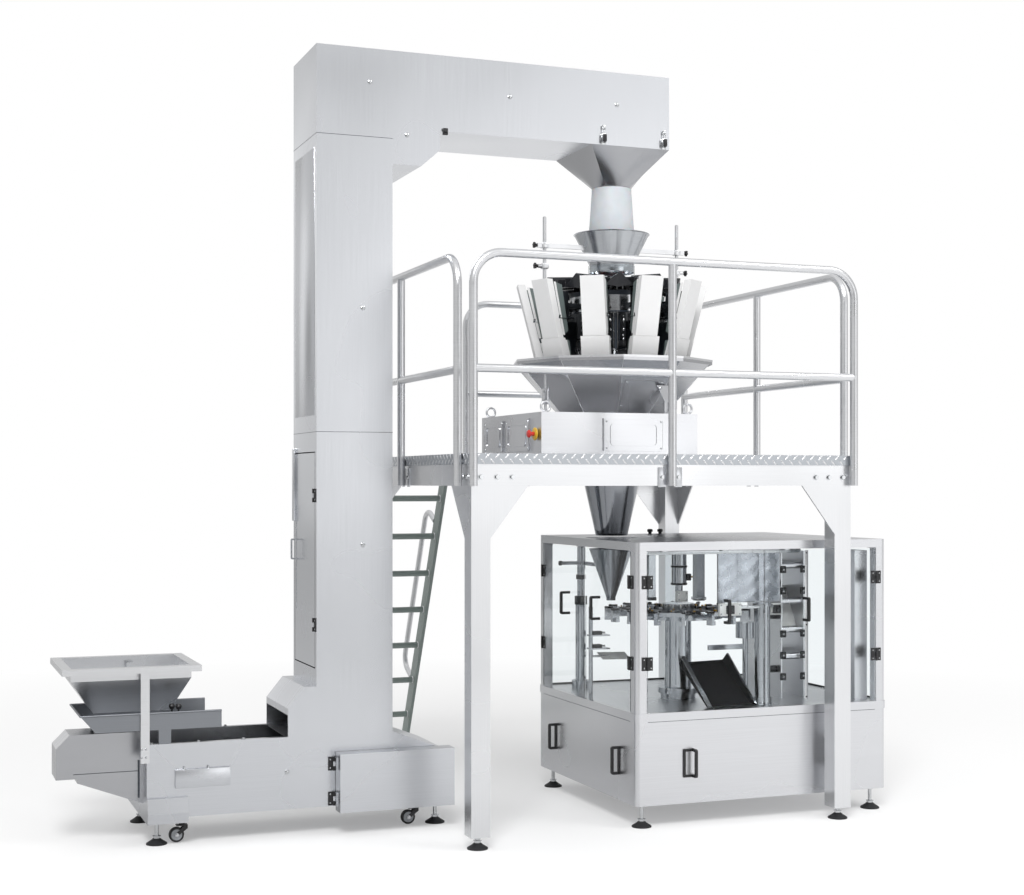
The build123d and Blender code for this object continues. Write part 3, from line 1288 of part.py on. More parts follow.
def make_weigh_hopper(angle):
    t = HOPPER_SHEET
    z0 = LOWER_BOTTOM + WEIGH_HOPPER_LOW
    z1 = COVER_BOTTOM + WEIGH_HOPPER_HIGH
    seam = COVER_BOTTOM - LOWER_GAP
    back = COVER_R0 - COVER_THICK
    low = LOWER_R0 - COVER_THICK
    r0 = low + (back - low) * (z0 - LOWER_BOTTOM) / (seam - LOWER_BOTTOM)
    rear0 = low - FEED_HOPPER_DEPTH * WEIGH_HOPPER_TAPER
    rear1 = back - FEED_HOPPER_DEPTH
    outer = [(r0, z0), (back, seam), (back, z1), (rear1, z1), (rear0, z0)]
    inner = [(r0 - t, z0 + t), (back - t, seam), (back - t, z1 + BLEND),
             (rear1 + t, z1 + BLEND), (rear0 + t, z0 + t)]
    width = LOWER_WIDTH - WEIGH_HOPPER_SLACK
    weigh = radial(outer, width, angle)
    weigh += hanger(CORE_RADIUS, rear1 + HANGER_WIDTH, z1 - WEIGH_HANGER_DROP, angle)
    weigh -= radial(inner, width - 2 * t, angle)
    return weigh


def make_hoppers():
    solids = []
    for angle in head_angles():
        solids.append(make_feed_hopper(angle))
        solids.append(make_weigh_hopper(angle))
    return solids


def make_cone():
    rim_z = CONE_TOP - 2 * CONE_WALL
    rim = CONE_RIM_RADIUS + CONE_RIM
    neck = CONE_NECK_RADIUS + CONE_WALL
    profile = [(CONE_NECK_RADIUS, CONE_NECK_Z), (CONE_RIM_RADIUS, CONE_TOP), (rim, CONE_TOP),
               (rim, rim_z), (cone_radius(rim_z), rim_z), (neck, CONE_NECK_Z),
               (neck, CONE_BOTTOM), (CONE_NECK_RADIUS, CONE_BOTTOM)]
    return Pos(AXIS_X, AXIS_Y, 0) * turned(profile)


def cone_radius(z):
    share = (z - CONE_NECK_Z) / (CONE_TOP - CONE_NECK_Z)
    return CONE_NECK_RADIUS + share * (CONE_RIM_RADIUS - CONE_NECK_RADIUS) + CONE_WALL


def make_stand():
    solids = []
    half = STAND_BAR / 2
    for side in (-1, 1):
        x = AXIS_X + side * STAND_REACH
        rod = rod_z(x, AXIS_Y, RIM_Z, STAND_TOP, STAND_ROD)
        near = AXIS_X + side * STAND_BAR_ROOT
        far = x + side * STAND_CLAMP
        bar = block(min(near, far), max(near, far), AXIS_Y - half, AXIS_Y + half,
                    STAND_BAR_Z - half, STAND_BAR_Z + half)
        solid_cone = turned([(0, CONE_NECK_Z), (CONE_NECK_RADIUS + CONE_WALL + FIT, CONE_NECK_Z),
                             (CONE_RIM_RADIUS + CONE_WALL + FIT, CONE_TOP), (0, CONE_TOP)])
        bar -= Pos(AXIS_X, AXIS_Y, 0) * solid_cone
        solids.append(rod + bar)
    return solids


def make_discharge_funnel():
    top = DECK_TOP
    neck_z = top - DISCHARGE_NECK
    mouth = DISCHARGE_TOP_RADIUS + DISCHARGE_FLARE
    rim = DISCHARGE_TOP_RADIUS + DISCHARGE_FLANGE
    profile = [(DISCHARGE_TOP_RADIUS, BEAM_BOTTOM), (mouth, neck_z), (mouth, top), (rim, top),
               (rim, top + FLANGE_PLATE), (mouth - FLANGE_PLATE, top + FLANGE_PLATE),
               (mouth - FLANGE_PLATE, neck_z), (DISCHARGE_TOP_RADIUS - FUNNEL_WALL, BEAM_BOTTOM),
               (DISCHARGE_BOTTOM_RADIUS - FUNNEL_WALL, DISCHARGE_BOTTOM),
               (DISCHARGE_BOTTOM_RADIUS, DISCHARGE_BOTTOM)]
    return Pos(AXIS_X, AXIS_Y, 0) * turned(profile)


# Rotary bagging machine


def make_cabinet():
    cabinet = block(PACK_X0, PACK_X1, PACK_Y0, PACK_Y1, PACK_BOTTOM, SILL_BOTTOM + BLEND)
    cabinet = fillet(cabinet.edges().filter_by(Axis.Z), CORNER_RADIUS)
    sill = block(PACK_X0 - SILL_PROUD, PACK_X1 + SILL_PROUD, PACK_Y0 - SILL_PROUD,
                 PACK_Y1 + SILL_PROUD, SILL_BOTTOM, SILL_TOP)
    sill = fillet(sill.edges().filter_by(Axis.Z), CORNER_RADIUS)
    cabinet += sill
    return cabinet


def make_corner_posts():
    solids = []
    for x, sx in ((PACK_X0, 1), (PACK_X1, -1)):
        for y, sy in ((PACK_Y0, 1), (PACK_Y1, -1)):
            x1 = x + sx * CORNER_POST
            y1 = y + sy * CORNER_POST
            post = block(min(x, x1), max(x, x1), min(y, y1), max(y, y1), SILL_TOP, WINDOW_TOP)
            corner = [e for e in post.edges().filter_by(Axis.Z)
                      if abs(e.center().X - x) < 1 and abs(e.center().Y - y) < 1]
            solids.append(fillet(corner, CORNER_RADIUS))
    return solids


def make_roof():
    roof = block(PACK_X0, PACK_X1, PACK_Y0, PACK_Y1, WINDOW_TOP, ROOF_TOP)
    roof = fillet(roof.edges().filter_by(Axis.Z), CORNER_RADIUS)
    roof -= rod_z(AXIS_X, AXIS_Y, WINDOW_TOP - BLEND, ROOF_TOP + BLEND,
                  FILL_TOP_RADIUS + FILL_HOLE_PLAY)
    return roof


def make_fixed_glazing():
    y = PACK_Y1 - PANE_INSET
    back = block(PACK_X0 + CORNER_POST, PACK_X1 - CORNER_POST, y - PANE, y, SILL_TOP, WINDOW_TOP)
    x = PACK_X1 - PANE_INSET
    right = block(x - PANE, x, PACK_Y0 + CORNER_POST, PACK_Y1 - CORNER_POST, SILL_TOP, WINDOW_TOP)
    return [back, right]


def leaf_specs():
    """Name, hinge pin (x, y), turn of the leaf's own frame, leaf width, mirrored."""
    front_w = (PACK_X1 - PACK_X0 - 2 * CORNER_POST - 3 * DOOR_GAP) / 2
    side_w = (PACK_Y1 - PACK_Y0 - 2 * CORNER_POST - 3 * DOOR_GAP) / 2
    near = CORNER_POST + DOOR_GAP / 2
    out = PIN_STANDOFF
    return [
        ("front_left", (PACK_X0 + near, PACK_Y0 - out), 0, front_w, False),
        ("front_right", (PACK_X1 - near, PACK_Y0 - out), 0, front_w, True),
        ("side_near", (PACK_X0 - out, PACK_Y0 + near), -90, side_w, True),
        ("side_far", (PACK_X0 - out, PACK_Y1 - near), -90, side_w, False),
    ]


def place_leaf(shape, pin, turn, mirrored):
    if mirrored:
        shape = mirror(shape, Plane.YZ)
    return Pos(pin[0], pin[1], 0) * Rot(0, 0, turn) * shape


def make_leaf(pin, turn, width, mirrored):
    """Pane and fittings of a leaf that runs along +X from its hinge pin."""
    z0 = SILL_TOP + DOOR_GAP
    z1 = WINDOW_TOP - DOOR_GAP
    start = DOOR_GAP / 2
    pane = block(start, start + width, PIN_STANDOFF, PIN_STANDOFF + PANE, z0, z1)
    _, moving = hinge()
    parts = []
    for z in (HINGE_LOW, HINGE_HIGH):
        parts.append(Pos(0, 0, z) * moving)
    grip = c_handle(HANDLE_HEIGHT, HANDLE_STANDOFF, HANDLE_BAR)
    parts.append(Pos(width * HANDLE_SHARE, PIN_STANDOFF, HANDLE_Z) * grip)
    pane = place_leaf(pane, pin, turn, mirrored)
    parts = [place_leaf(p, pin, turn, mirrored) for p in parts]
    return pane, parts


def make_fixed_hardware():
    """Hinge leaves on the posts and column, and the cabinet's handles."""
    fixed, _ = hinge()
    solids = []
    for _, pin, turn, _, mirrored in leaf_specs():
        for z in (HINGE_LOW, HINGE_HIGH):
            solids.append(place_leaf(Pos(0, 0, z) * fixed, pin, turn, mirrored))
    for z in (CDOOR_Z0 + CDOOR_HINGE_INSET, CDOOR_Z1 - CDOOR_HINGE_INSET):
        solids.append(Pos(*COLUMN_PIN, z) * Rot(0, 0, 90) * mirror(fixed, Plane.XZ))
    for z in (DRIVE_Z0 + DRIVE_HINGE_INSET, DRIVE_Z1 - DRIVE_HINGE_INSET):
        solids.append(Pos(*DRIVE_PIN, z) * fixed)
    grip = c_handle(CABINET_HANDLE_HEIGHT, CABINET_HANDLE_STANDOFF, HANDLE_BAR)
    for y in (PACK_Y0 + NEAR_HANDLE_INSET, PACK_Y1 - FAR_HANDLE_INSET):
        solids.append(Pos(PACK_X0, y, CABINET_HANDLE_Z) * Rot(0, 0, -90) * grip)
    for x in (PACK_X0 + FRONT_HANDLE_INSET, PACK_X1 - FRONT_HANDLE_INSET):
        solids.append(Pos(x, PACK_Y0, CABINET_HANDLE_Z) * grip)
    return solids


def make_station():
    """One gripper station along +X: two arms with jaws, a yoke and its cylinder."""
    z1 = TURNTABLE_Z1
    root = TURNTABLE_RADIUS - ARM_ROOT
    yoke_x = PITCH_RADIUS - GRIP_LENGTH
    station = rod_x(root, yoke_x + BLEND, 0, z1 + CYLINDER_RADIUS - BLEND, CYLINDER_RADIUS)
    station += block(yoke_x, yoke_x + YOKE_THICK, -ARM_SPREAD, ARM_SPREAD, z1 - BLEND,
                     z1 + GRIP_RISE)
    for side in (-1, 1):
        y = side * ARM_SPREAD
        station += block(root, PITCH_RADIUS, y - ARM_WIDTH / 2, y + ARM_WIDTH / 2,
                         z1 - ARM_THICK, z1 + ARM_PROUD)
        station += block(PITCH_RADIUS - GRIP_LENGTH / 2, PITCH_RADIUS + GRIP_LENGTH / 2,
                         y - GRIP_WIDTH / 2, y + GRIP_WIDTH / 2, z1 - GRIP_DROP, z1 + GRIP_RISE)
        jaw = side * (ARM_SPREAD - JAW_REACH)
        station += block(PITCH_RADIUS - JAW_LENGTH / 2, PITCH_RADIUS + JAW_LENGTH / 2,
                         min(y, jaw), max(y, jaw), z1 - GRIP_DROP, z1 - GRIP_DROP + JAW_HEIGHT)
    return station


def make_turntable():
    table = rod_z(ROTOR_X, ROTOR_Y, TURNTABLE_Z0, TURNTABLE_Z1, TURNTABLE_RADIUS)
    table += rod_z(ROTOR_X, ROTOR_Y, TURNTABLE_Z1 - BLEND, TURNTABLE_Z1 + HUB_HEIGHT, HUB_RADIUS)
    station = make_station()
    for i in range(STATIONS):
        table += Pos(ROTOR_X, ROTOR_Y, 0) * Rot(0, 0, STATION_ANGLE + 360 / STATIONS * i) * station
    return table


def make_rotor_column():
    mid = SILL_TOP + ROTOR_FLANGE_HEIGHT / 2
    column = rod_z(ROTOR_X, ROTOR_Y, SILL_TOP, TURNTABLE_Z0 - FIT, ROTOR_COLUMN)
    column += rod_z(ROTOR_X, ROTOR_Y, SILL_TOP, mid + BLEND, ROTOR_FLANGE - FLANGE_STEP)
    column += rod_z(ROTOR_X, ROTOR_Y, mid, SILL_TOP + ROTOR_FLANGE_HEIGHT, ROTOR_FLANGE)
    return column


def make_left_post():
    """Stepped post whose arm carries the filling funnel."""
    x = LEFT_POST_X
    y = LEFT_POST_Y
    post = rod_z(x, y, SILL_TOP, WINDOW_TOP, LEFT_POST_NECK)
    post += rod_z(x, y, SILL_TOP, SILL_TOP + POST_FOOT_HEIGHT, LEFT_POST_FOOT)
    post += rod_z(x, y, SILL_TOP, SILL_TOP + LEFT_POST_STEP, LEFT_POST_RADIUS)
    arm_z = FILL_TOP - FUNNEL_ARM_DROP
    half = FUNNEL_ARM_WIDTH / 2
    post += block(x - half, x + half, AXIS_Y + FUNNEL_ARM_REACH, y, arm_z, arm_z + FUNNEL_ARM_HEIGHT)
    post += block(x - FUNNEL_ARM_TAIL, x, y - half, y + half, arm_z, arm_z + FUNNEL_ARM_HEIGHT)
    cone = turned([(0, FILL_BOTTOM), (FILL_NECK_RADIUS + FIT, FILL_BOTTOM + FILL_NECK),
                   (FILL_TOP_RADIUS + FIT, FILL_TOP), (0, FILL_TOP)])
    return post - Pos(AXIS_X, AXIS_Y, 0) * cone


def make_polished_column():
    x = POLISHED_X
    y = POLISHED_Y
    top = SILL_TOP + POLISHED_HEIGHT
    column = rod_z(x, y, SILL_TOP, top, POLISHED_RADIUS)
    column += rod_z(x, y, SILL_TOP, SILL_TOP + POST_FOOT_HEIGHT, POLISHED_FOOT)
    column += rod_z(x, y, top - POLISHED_CAP, top, POLISHED_FOOT)
    return column


def make_roof_tools():
    """Actuator, tower and guide that hang from the roof over the stations."""
    x = PACK_X0 + ACTUATOR_FROM_LEFT
    y = PACK_Y0 + ACTUATOR_FROM_FRONT
    barrel = WINDOW_TOP - ACTUATOR_LENGTH
    actuator = rod_z(x, y, barrel, WINDOW_TOP, ACTUATOR_RADIUS)
    actuator += rod_z(x, y, TOOL_BOTTOM, barrel + BLEND, ACTUATOR_ROD)
    x = PACK_X0 + TOWER_FROM_LEFT
    half = TOWER_SIDE / 2
    tower = block(x, x + TOWER_SIDE, ROTOR_Y - half, ROTOR_Y + half, TOOL_BOTTOM, WINDOW_TOP)
    x = PACK_X0 + STRIP_FROM_LEFT
    y = PACK_Y0 + STRIP_FROM_FRONT
    strip = block(x, x + STRIP_WIDTH, y, y + STRIP_WIDTH, WINDOW_TOP - STRIP_HEIGHT, WINDOW_TOP)
    return [actuator, tower, strip]


def make_side_post():
    """Thin post with two shelves beside the filling station."""
    x = PACK_X0 + SIDE_POST_FROM_LEFT
    y = PACK_Y0 + SIDE_POST_FROM_FRONT
    half = SHELF_DEPTH / 2
    post = rod_z(x, y, SILL_TOP, SILL_TOP + SIDE_POST_HEIGHT, SIDE_POST_RADIUS)
    for rise in SHELF_RISES:
        z = SILL_TOP + rise
        post += block(x - SIDE_POST_RADIUS, x + SHELF_LENGTH, y - half, y + half, z, z + SHELF_PLATE)
    return post


def make_drum_stand():
    """Stand below the grippers with a drum on top and a guide blade."""
    x = PACK_X0 + DRUM_STAND_FROM_LEFT
    y = PACK_Y0 + DRUM_STAND_FROM_FRONT
    top = TURNTABLE_Z1 - GRIP_DROP - BAG_DRUM_GAP
    low = top - BAG_DRUM_HEIGHT
    stand = rod_z(x, y, SILL_TOP, low + BLEND, DRUM_STAND_RADIUS)
    stand += rod_z(x, y, low, top, BAG_DRUM_RADIUS)
    z = SILL_TOP + BLADE_RISE
    x1 = x + DRUM_STAND_RADIUS
    stand += block(x1 - BLADE_LENGTH, x1, y - BLADE_PLATE / 2, y + BLADE_PLATE / 2,
                   z, z + BLADE_HEIGHT)
    return stand


def make_machine_posts():
    solids = [make_left_post(), make_polished_column(), make_rotor_column()]
    solids += make_roof_tools()
    solids += [make_side_post(), make_drum_stand()]
    return solids


def make_filling_funnel():
    t = FUNNEL_WALL
    z_neck = FILL_BOTTOM + FILL_NECK
    profile = [(FILL_NECK_RADIUS, FILL_BOTTOM), (FILL_NECK_RADIUS, z_neck), (FILL_TOP_RADIUS, FILL_TOP),
               (FILL_TOP_RADIUS - t, FILL_TOP), (FILL_NECK_RADIUS - t, z_neck),
               (FILL_NECK_RADIUS - t, FILL_BOTTOM)]
    return Pos(AXIS_X, AXIS_Y, 0) * turned(profile)


def make_bag_chute():
    """U-shaped slide: in its own frame its top edge lies on y = 0 and it falls towards -Y."""
    half = BAG_CHUTE_WIDTH / 2
    z0 = SILL_TOP + FIT
    z1 = SILL_TOP + BAG_CHUTE_HEIGHT
    y0 = -BAG_CHUTE_RUN
    side = BAG_CHUTE_SIDE
    t = BAG_CHUTE_SHEET
    outer = [(y0, z0), (y0 + side, z0), (side, z1 - side), (0, z1)]
    inner = [(y0 - side, z0 - BLEND), (y0 + side - t, z0 - BLEND), (side - t, z1 - side),
             (-t, z1 + side)]
    chute = plate_yz(outer, -half, half)
    chute -= plate_yz(inner, t - half, half - t)
    top = Pos(PACK_X0 + BAG_CHUTE_FROM_LEFT, PACK_Y0 + BAG_CHUTE_FROM_FRONT, 0)
    return top * Rot(0, 0, BAG_CHUTE_TURN) * chute


def make_magazine_frame():
    """Two side plates with rollers between them, for the stack of empty bags."""
    x0 = PACK_X0 + MAGAZINE_FROM_LEFT
    x1 = x0 + MAGAZINE_WIDTH
    y0 = PACK_Y0 + MAGAZINE_FROM_FRONT
    y1 = y0 + MAGAZINE_DEPTH
    top = SILL_TOP + MAGAZINE_HEIGHT
    frame = block(x0, x0 + MAGAZINE_PLATE, y0, y1, SILL_TOP, top)
    frame += block(x1 - MAGAZINE_PLATE, x1, y0, y1, SILL_TOP, top)
    for rise in ROLLER_RISES:
        for y in (y0 + 2 * ROLLER_RADIUS, y1 - 2 * ROLLER_RADIUS):
            frame += rod_x(x0 + BLEND, x1 - BLEND, y, SILL_TOP + rise, ROLLER_RADIUS)
    return frame


def make_bag_magazine():
    x0 = PACK_X0 + PANEL_FROM_LEFT
    y0 = PACK_Y0 + PANEL_FROM_FRONT
    panel = block(x0, x0 + PANEL_WIDTH, y0, y0 + PANEL_PLATE, WINDOW_TOP - PANEL_HEIGHT, WINDOW_TOP)
    x1 = PACK_X1 - HOUSING_FROM_RIGHT
    y0 = PACK_Y0 + HOUSING_FROM_FRONT
    housing = block(x1 - HOUSING_WIDTH, x1, y0, y0 + HOUSING_DEPTH, SILL_TOP, SILL_TOP + HOUSING_HEIGHT)
    return [panel, make_magazine_frame(), housing]


def main():
    save_all("platform_legs", make_legs())
    save_all("long_beams", make_long_beams())
    save_all("cross_beams", make_cross_beams())
    save("deck_plate", make_deck())
    save_all("railing_posts", make_posts())
    save_all("top_rails", make_top_rails())
    save_all("mid_rails", make_mid_rails())
    save_all("ladder_stringers", make_stringers())
    save_all("ladder_rungs", make_rungs())
    save_all("ladder_handrails", make_handrails())
    save_all("foot_pads", make_pads())
    save_all("foot_spindles", make_spindles())

    save("elevator_base", make_elevator_base())
    save("infeed_trough", make_trough())
    save("infeed_hopper", make_hopper())
    save("vibrating_tray", make_tray())
    save("elevator_column", make_column())
    save("column_hood", make_hood())
    save("elevator_head", make_head())
    save("discharge_chute", make_discharge_chute())
    save("bucket_chain", make_bucket_chain())
    save("column_door", make_column_door())
    save("drive_cover", make_drive_cover())
    save("chute_sleeve", make_sleeve())
    save_all("caster_plates", make_caster_plates())
    for i, (x, y) in enumerate(caster_places()):
        fork, wheel = make_caster(x, y)
        save("caster_fork_" + str(i + 1), fork)
        save("caster_wheel_" + str(i + 1), wheel)

    save("weigher_base", make_weigher_base())
    save("collecting_chute", make_collecting_chute())
    save("weigher_core", make_core())
    save_all("feeder_pans", make_pans())
    save_all("head_covers", make_head_covers())
    save_all("weigher_hoppers", make_hoppers())
    save("infeed_cone", make_cone())
    save_all("cone_stand", make_stand())
    save("discharge_funnel", make_discharge_funnel())

    save("packer_cabinet", make_cabinet())
    save_all("corner_posts", make_corner_posts())
    save("packer_roof", make_roof())
    save_all("fixed_glazing", make_fixed_glazing())
    for name, pin, turn, width, mirrored in leaf_specs():
        pane, parts = make_leaf(pin, turn, width, mirrored)
        save("door_pane_" + name, pane)
        save_all("door_fittings_" + name, parts)
    save_all("fixed_hardware", make_fixed_hardware())
    save("turntable", make_turntable())
    save_all("machine_posts", make_machine_posts())
    save("filling_funnel", make_filling_funnel())
    save("bag_chute", make_bag_chute())
    save_all("bag_magazine", make_bag_magazine())


main()
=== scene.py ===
import json
import math
from itertools import product

import bmesh
import bpy
from mathutils import Matrix, Vector


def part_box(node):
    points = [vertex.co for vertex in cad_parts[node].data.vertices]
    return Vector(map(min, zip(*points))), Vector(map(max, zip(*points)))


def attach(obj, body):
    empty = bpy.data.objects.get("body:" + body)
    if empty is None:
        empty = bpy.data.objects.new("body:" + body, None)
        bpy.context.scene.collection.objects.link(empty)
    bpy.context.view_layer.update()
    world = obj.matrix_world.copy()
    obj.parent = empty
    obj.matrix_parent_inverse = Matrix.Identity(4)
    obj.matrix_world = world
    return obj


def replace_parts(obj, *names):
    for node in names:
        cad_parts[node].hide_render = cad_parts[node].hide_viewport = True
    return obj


bl_info = {
    "name": "Granule packaging line",
    "version": (1, 0, 0),
    "blender": (4, 5, 0),
    "location": "3D View > Sidebar > Packaging line",
    "description": "Finishes, fittings and studio for a packaging line round its CAD frame",
    "category": "Object",
}

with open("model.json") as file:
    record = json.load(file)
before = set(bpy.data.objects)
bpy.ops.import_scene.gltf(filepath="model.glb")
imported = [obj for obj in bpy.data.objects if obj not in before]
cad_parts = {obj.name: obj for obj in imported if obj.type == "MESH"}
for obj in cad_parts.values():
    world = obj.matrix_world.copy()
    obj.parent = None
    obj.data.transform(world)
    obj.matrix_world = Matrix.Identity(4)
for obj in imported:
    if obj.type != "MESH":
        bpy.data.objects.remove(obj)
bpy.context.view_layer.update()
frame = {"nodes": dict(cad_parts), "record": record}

# Bodies of the frame
ROOT = "packaging_line"
LEAVES = ("front_left", "front_right", "side_near", "side_far")
CASTERS = (1, 2, 3, 4)

# Camera, as the photograph's perspective gives it
CAMERA_PLACE = (-2.6996, -7.5199, 1.8061)
CAMERA_TURN = math.radians(-20.97)
CAMERA_LENS = 56.93
CAMERA_SHIFT = 0.0343

# Shared angles, counts and places, in radians and metres
SHARP = math.radians(32)
UPRIGHT = Matrix.Rotation(math.radians(90), 4, "X")
HERE = Matrix.Identity(4)
UP = Vector((0, 0, 1))
FRONT = Vector((0, -1, 0))
SCREW = 0.006
SMALL_SCREW = 0.005
HEADS = 10
HEAD_STEP = 2 * math.pi / HEADS
STATIONS = 8
WEIGHER_AXIS = Matrix.Translation((1.111, 0.847, 0))


def linear(code):
    """Linear colour from an sRGB hex value."""
    values = [int(code[i:i + 2], 16) / 255 for i in (0, 2, 4)]
    return [v / 12.92 if v <= 0.04045 else ((v + 0.055) / 1.055) ** 2.4 for v in values]


def colour(name, description, code):
    return bpy.props.FloatVectorProperty(name=name, description=description, subtype="COLOR",
                                         size=3, min=0, max=1, default=linear(code))


def length(name, description, value):
    return bpy.props.FloatProperty(name=name, description=description, unit="LENGTH",
                                   subtype="DISTANCE", min=0, default=value)


class LineSizes(bpy.types.PropertyGroup):
    """Sizes of the line's small fittings"""

    bolt: length("Bolt head", "Radius of a sheet bolt's head", 0.0075)
    frame_bolt: length("Frame bolt", "Radius of a platform bolt's head", 0.012)
    tread_pitch: length("Tread pitch", "Distance between the tread plate's bars", 0.051)
    tread_rise: length("Tread rise", "Height of the tread plate's bars", 0.0024)
    screw: length("Hinge screw", "Radius of a hinge's screw head", 0.0042)
    floor: length("Floor", "Radius of the studio floor", 60.0)


# Materials


def add(tree, kind, inputs=None, **settings):
    """Adds a node, sets its fields, and fills or links its inputs."""
    node = tree.nodes.new(kind)
    for field, value in settings.items():
        setattr(node, field, value)
    for name, value in (inputs or {}).items():
        if isinstance(value, bpy.types.NodeSocket):
            tree.links.new(value, node.inputs[name])
        else:
            node.inputs[name].default_value = value
    return node


def combine(tree, operation, first, *others):
    """Joins values with a chain of math nodes."""
    for other in others:
        first = add(tree, "ShaderNodeMath", {0: first, 1: other}, operation=operation).outputs[0]
    return first


def new_material(name):
    material = bpy.data.materials.new(name)
    material.use_nodes = True
    material.node_tree.nodes.clear()
    return material, material.node_tree


def opaque(rgb, share=1.0):
    return (*[min(1.0, c * share) for c in rgb], 1.0)


def object_noise(tree, scale, detail=2.0, stretch=None):
    """Noise on Object coordinates, which may be stretched along an axis."""
    place = add(tree, "ShaderNodeTexCoord").outputs["Object"]
    if stretch:
        place = add(tree, "ShaderNodeMapping", {"Vector": place, "Scale": stretch}).outputs["Vector"]
    return add(tree, "ShaderNodeTexNoise", {"Vector": place, "Scale": scale, "Detail": detail}).outputs["Fac"]


def spread(tree, value, low, high, start=0.3, end=0.7):
    """Maps a value to a range. The defaults suit a noise, which seldom leaves 0.3 to 0.7."""
    return add(tree, "ShaderNodeMapRange", {"Value": value, "From Min": start, "From Max": end,
                                            "To Min": low, "To Max": high}).outputs["Result"]


def two_tone(tree, value, first, second):
    return add(tree, "ShaderNodeMix", {"Factor": value, 6: first, 7: second}, data_type="RGBA").outputs[2]


def shades(tree, noise, rgb, low, high):
    """Colour that a noise varies between two shares of itself."""
    return two_tone(tree, spread(tree, noise, 0, 1), opaque(rgb, low), opaque(rgb, high))


def bump(tree, height, distance, strength):
    return add(tree, "ShaderNodeBump", {"Height": height, "Distance": distance,
                                        "Strength": strength}).outputs["Normal"]


# Each maker below gives the shader inputs of one kind of surface


def brushed(tree, rgb, along, roughness):
    """Cold-rolled stainless sheet, brushed one way. Its scratches are drawn 2.5 mm apart, coarser
    than the real 0.2 mm, so that they show: they streak the gloss and hardly change the colour."""
    spacing, run = 0.0025, 0.35
    stretch = [1 / spacing] * 3
    stretch[along] = 1 / run
    scratches = object_noise(tree, 1.0, 2.0, stretch)
    clouds = object_noise(tree, 1.6, 1.0)
    return {"Base Color": shades(tree, scratches, rgb, 0.97, 1.02), "Metallic": 1.0,
            "Roughness": spread(tree, clouds, roughness - 0.04, roughness + 0.05),
            "Normal": bump(tree, scratches, 0.0002, 0.07)}


def turned(tree, rgb, roughness):
    """Turned and polished metal: fine rings round the axis under a bright gloss."""
    rings = object_noise(tree, 1.0, 1.0, (14, 14, 500))
    clouds = object_noise(tree, 6.0, 2.0)
    return {"Base Color": shades(tree, rings, rgb, 0.95, 1.03), "Metallic": 1.0,
            "Roughness": spread(tree, clouds, roughness - 0.03, roughness + 0.04),
            "Normal": bump(tree, rings, 0.0001, 0.1)}


def rolled_plate(tree, rgb):
    """Rolled aluminium plate, a little mottled. The bars of its tread are real shapes."""
    mottle = object_noise(tree, 90.0, 3.0)
    return {"Base Color": shades(tree, mottle, rgb, 0.9, 1.0), "Metallic": 1.0,
            "Roughness": spread(tree, mottle, 0.3, 0.42), "Normal": bump(tree, mottle, 0.0003, 0.2)}


def metallised_film(tree, rgb):
    """Metallised packing film: thin, bright and softly creased."""
    creases = object_noise(tree, 22.0, 3.0)
    return {"Base Color": shades(tree, creases, rgb, 0.85, 1.0), "Metallic": 1.0,
            "Roughness": spread(tree, creases, 0.2, 0.34), "Normal": bump(tree, creases, 0.002, 0.3)}


def enamel(tree, rgb, roughness, grain=220.0, height=0.00015, gloss=0.5):
    """Sprayed and baked enamel: an even coat with the faint orange peel of spraying."""
    peel = object_noise(tree, grain, 1.0)
    shade = object_noise(tree, 4.0, 2.0)
    return {"Base Color": shades(tree, shade, rgb, 0.96, 1.02),
            "Roughness": spread(tree, shade, roughness - 0.04, roughness + 0.04),
            "Specular IOR Level": gloss, "Normal": bump(tree, peel, height, 0.25)}


def moulded(tree, rgb, roughness):
    """Injection-moulded plastic or rubber with a fine eroded grain, drawn 2.4 mm wide."""
    grain = object_noise(tree, 420.0, 2.0)
    shade = object_noise(tree, 9.0, 2.0)
    return {"Base Color": shades(tree, shade, rgb, 0.85, 1.15), "IOR": 1.5,
            "Roughness": spread(tree, grain, roughness - 0.06, roughness + 0.06),
            "Normal": bump(tree, grain, 0.0002, 0.3)}


def silicone(tree, rgb):
    """Cast translucent silicone: milky, so that it lets some light through."""
    shade = object_noise(tree, 12.0, 2.0)
    return {"Base Color": shades(tree, shade, rgb, 0.94, 1.03), "Roughness": 0.5, "IOR": 1.42,
            "Subsurface Weight": 0.3, "Subsurface Scale": 0.01}


def clear_sheet(tree, rgb):
    """Cast clear acrylic with an anti-glare coat, so its IOR is below the plain sheet's 1.49: nearly
    unseen, with the faintest haze of wiping."""
    wipes = object_noise(tree, 1.0, 2.0, (1.5, 1.5, 9))
    return {"Base Color": opaque(rgb), "Roughness": spread(tree, wipes, 0.0, 0.012), "IOR": 1.17,
            "Transmission Weight": 1.0}


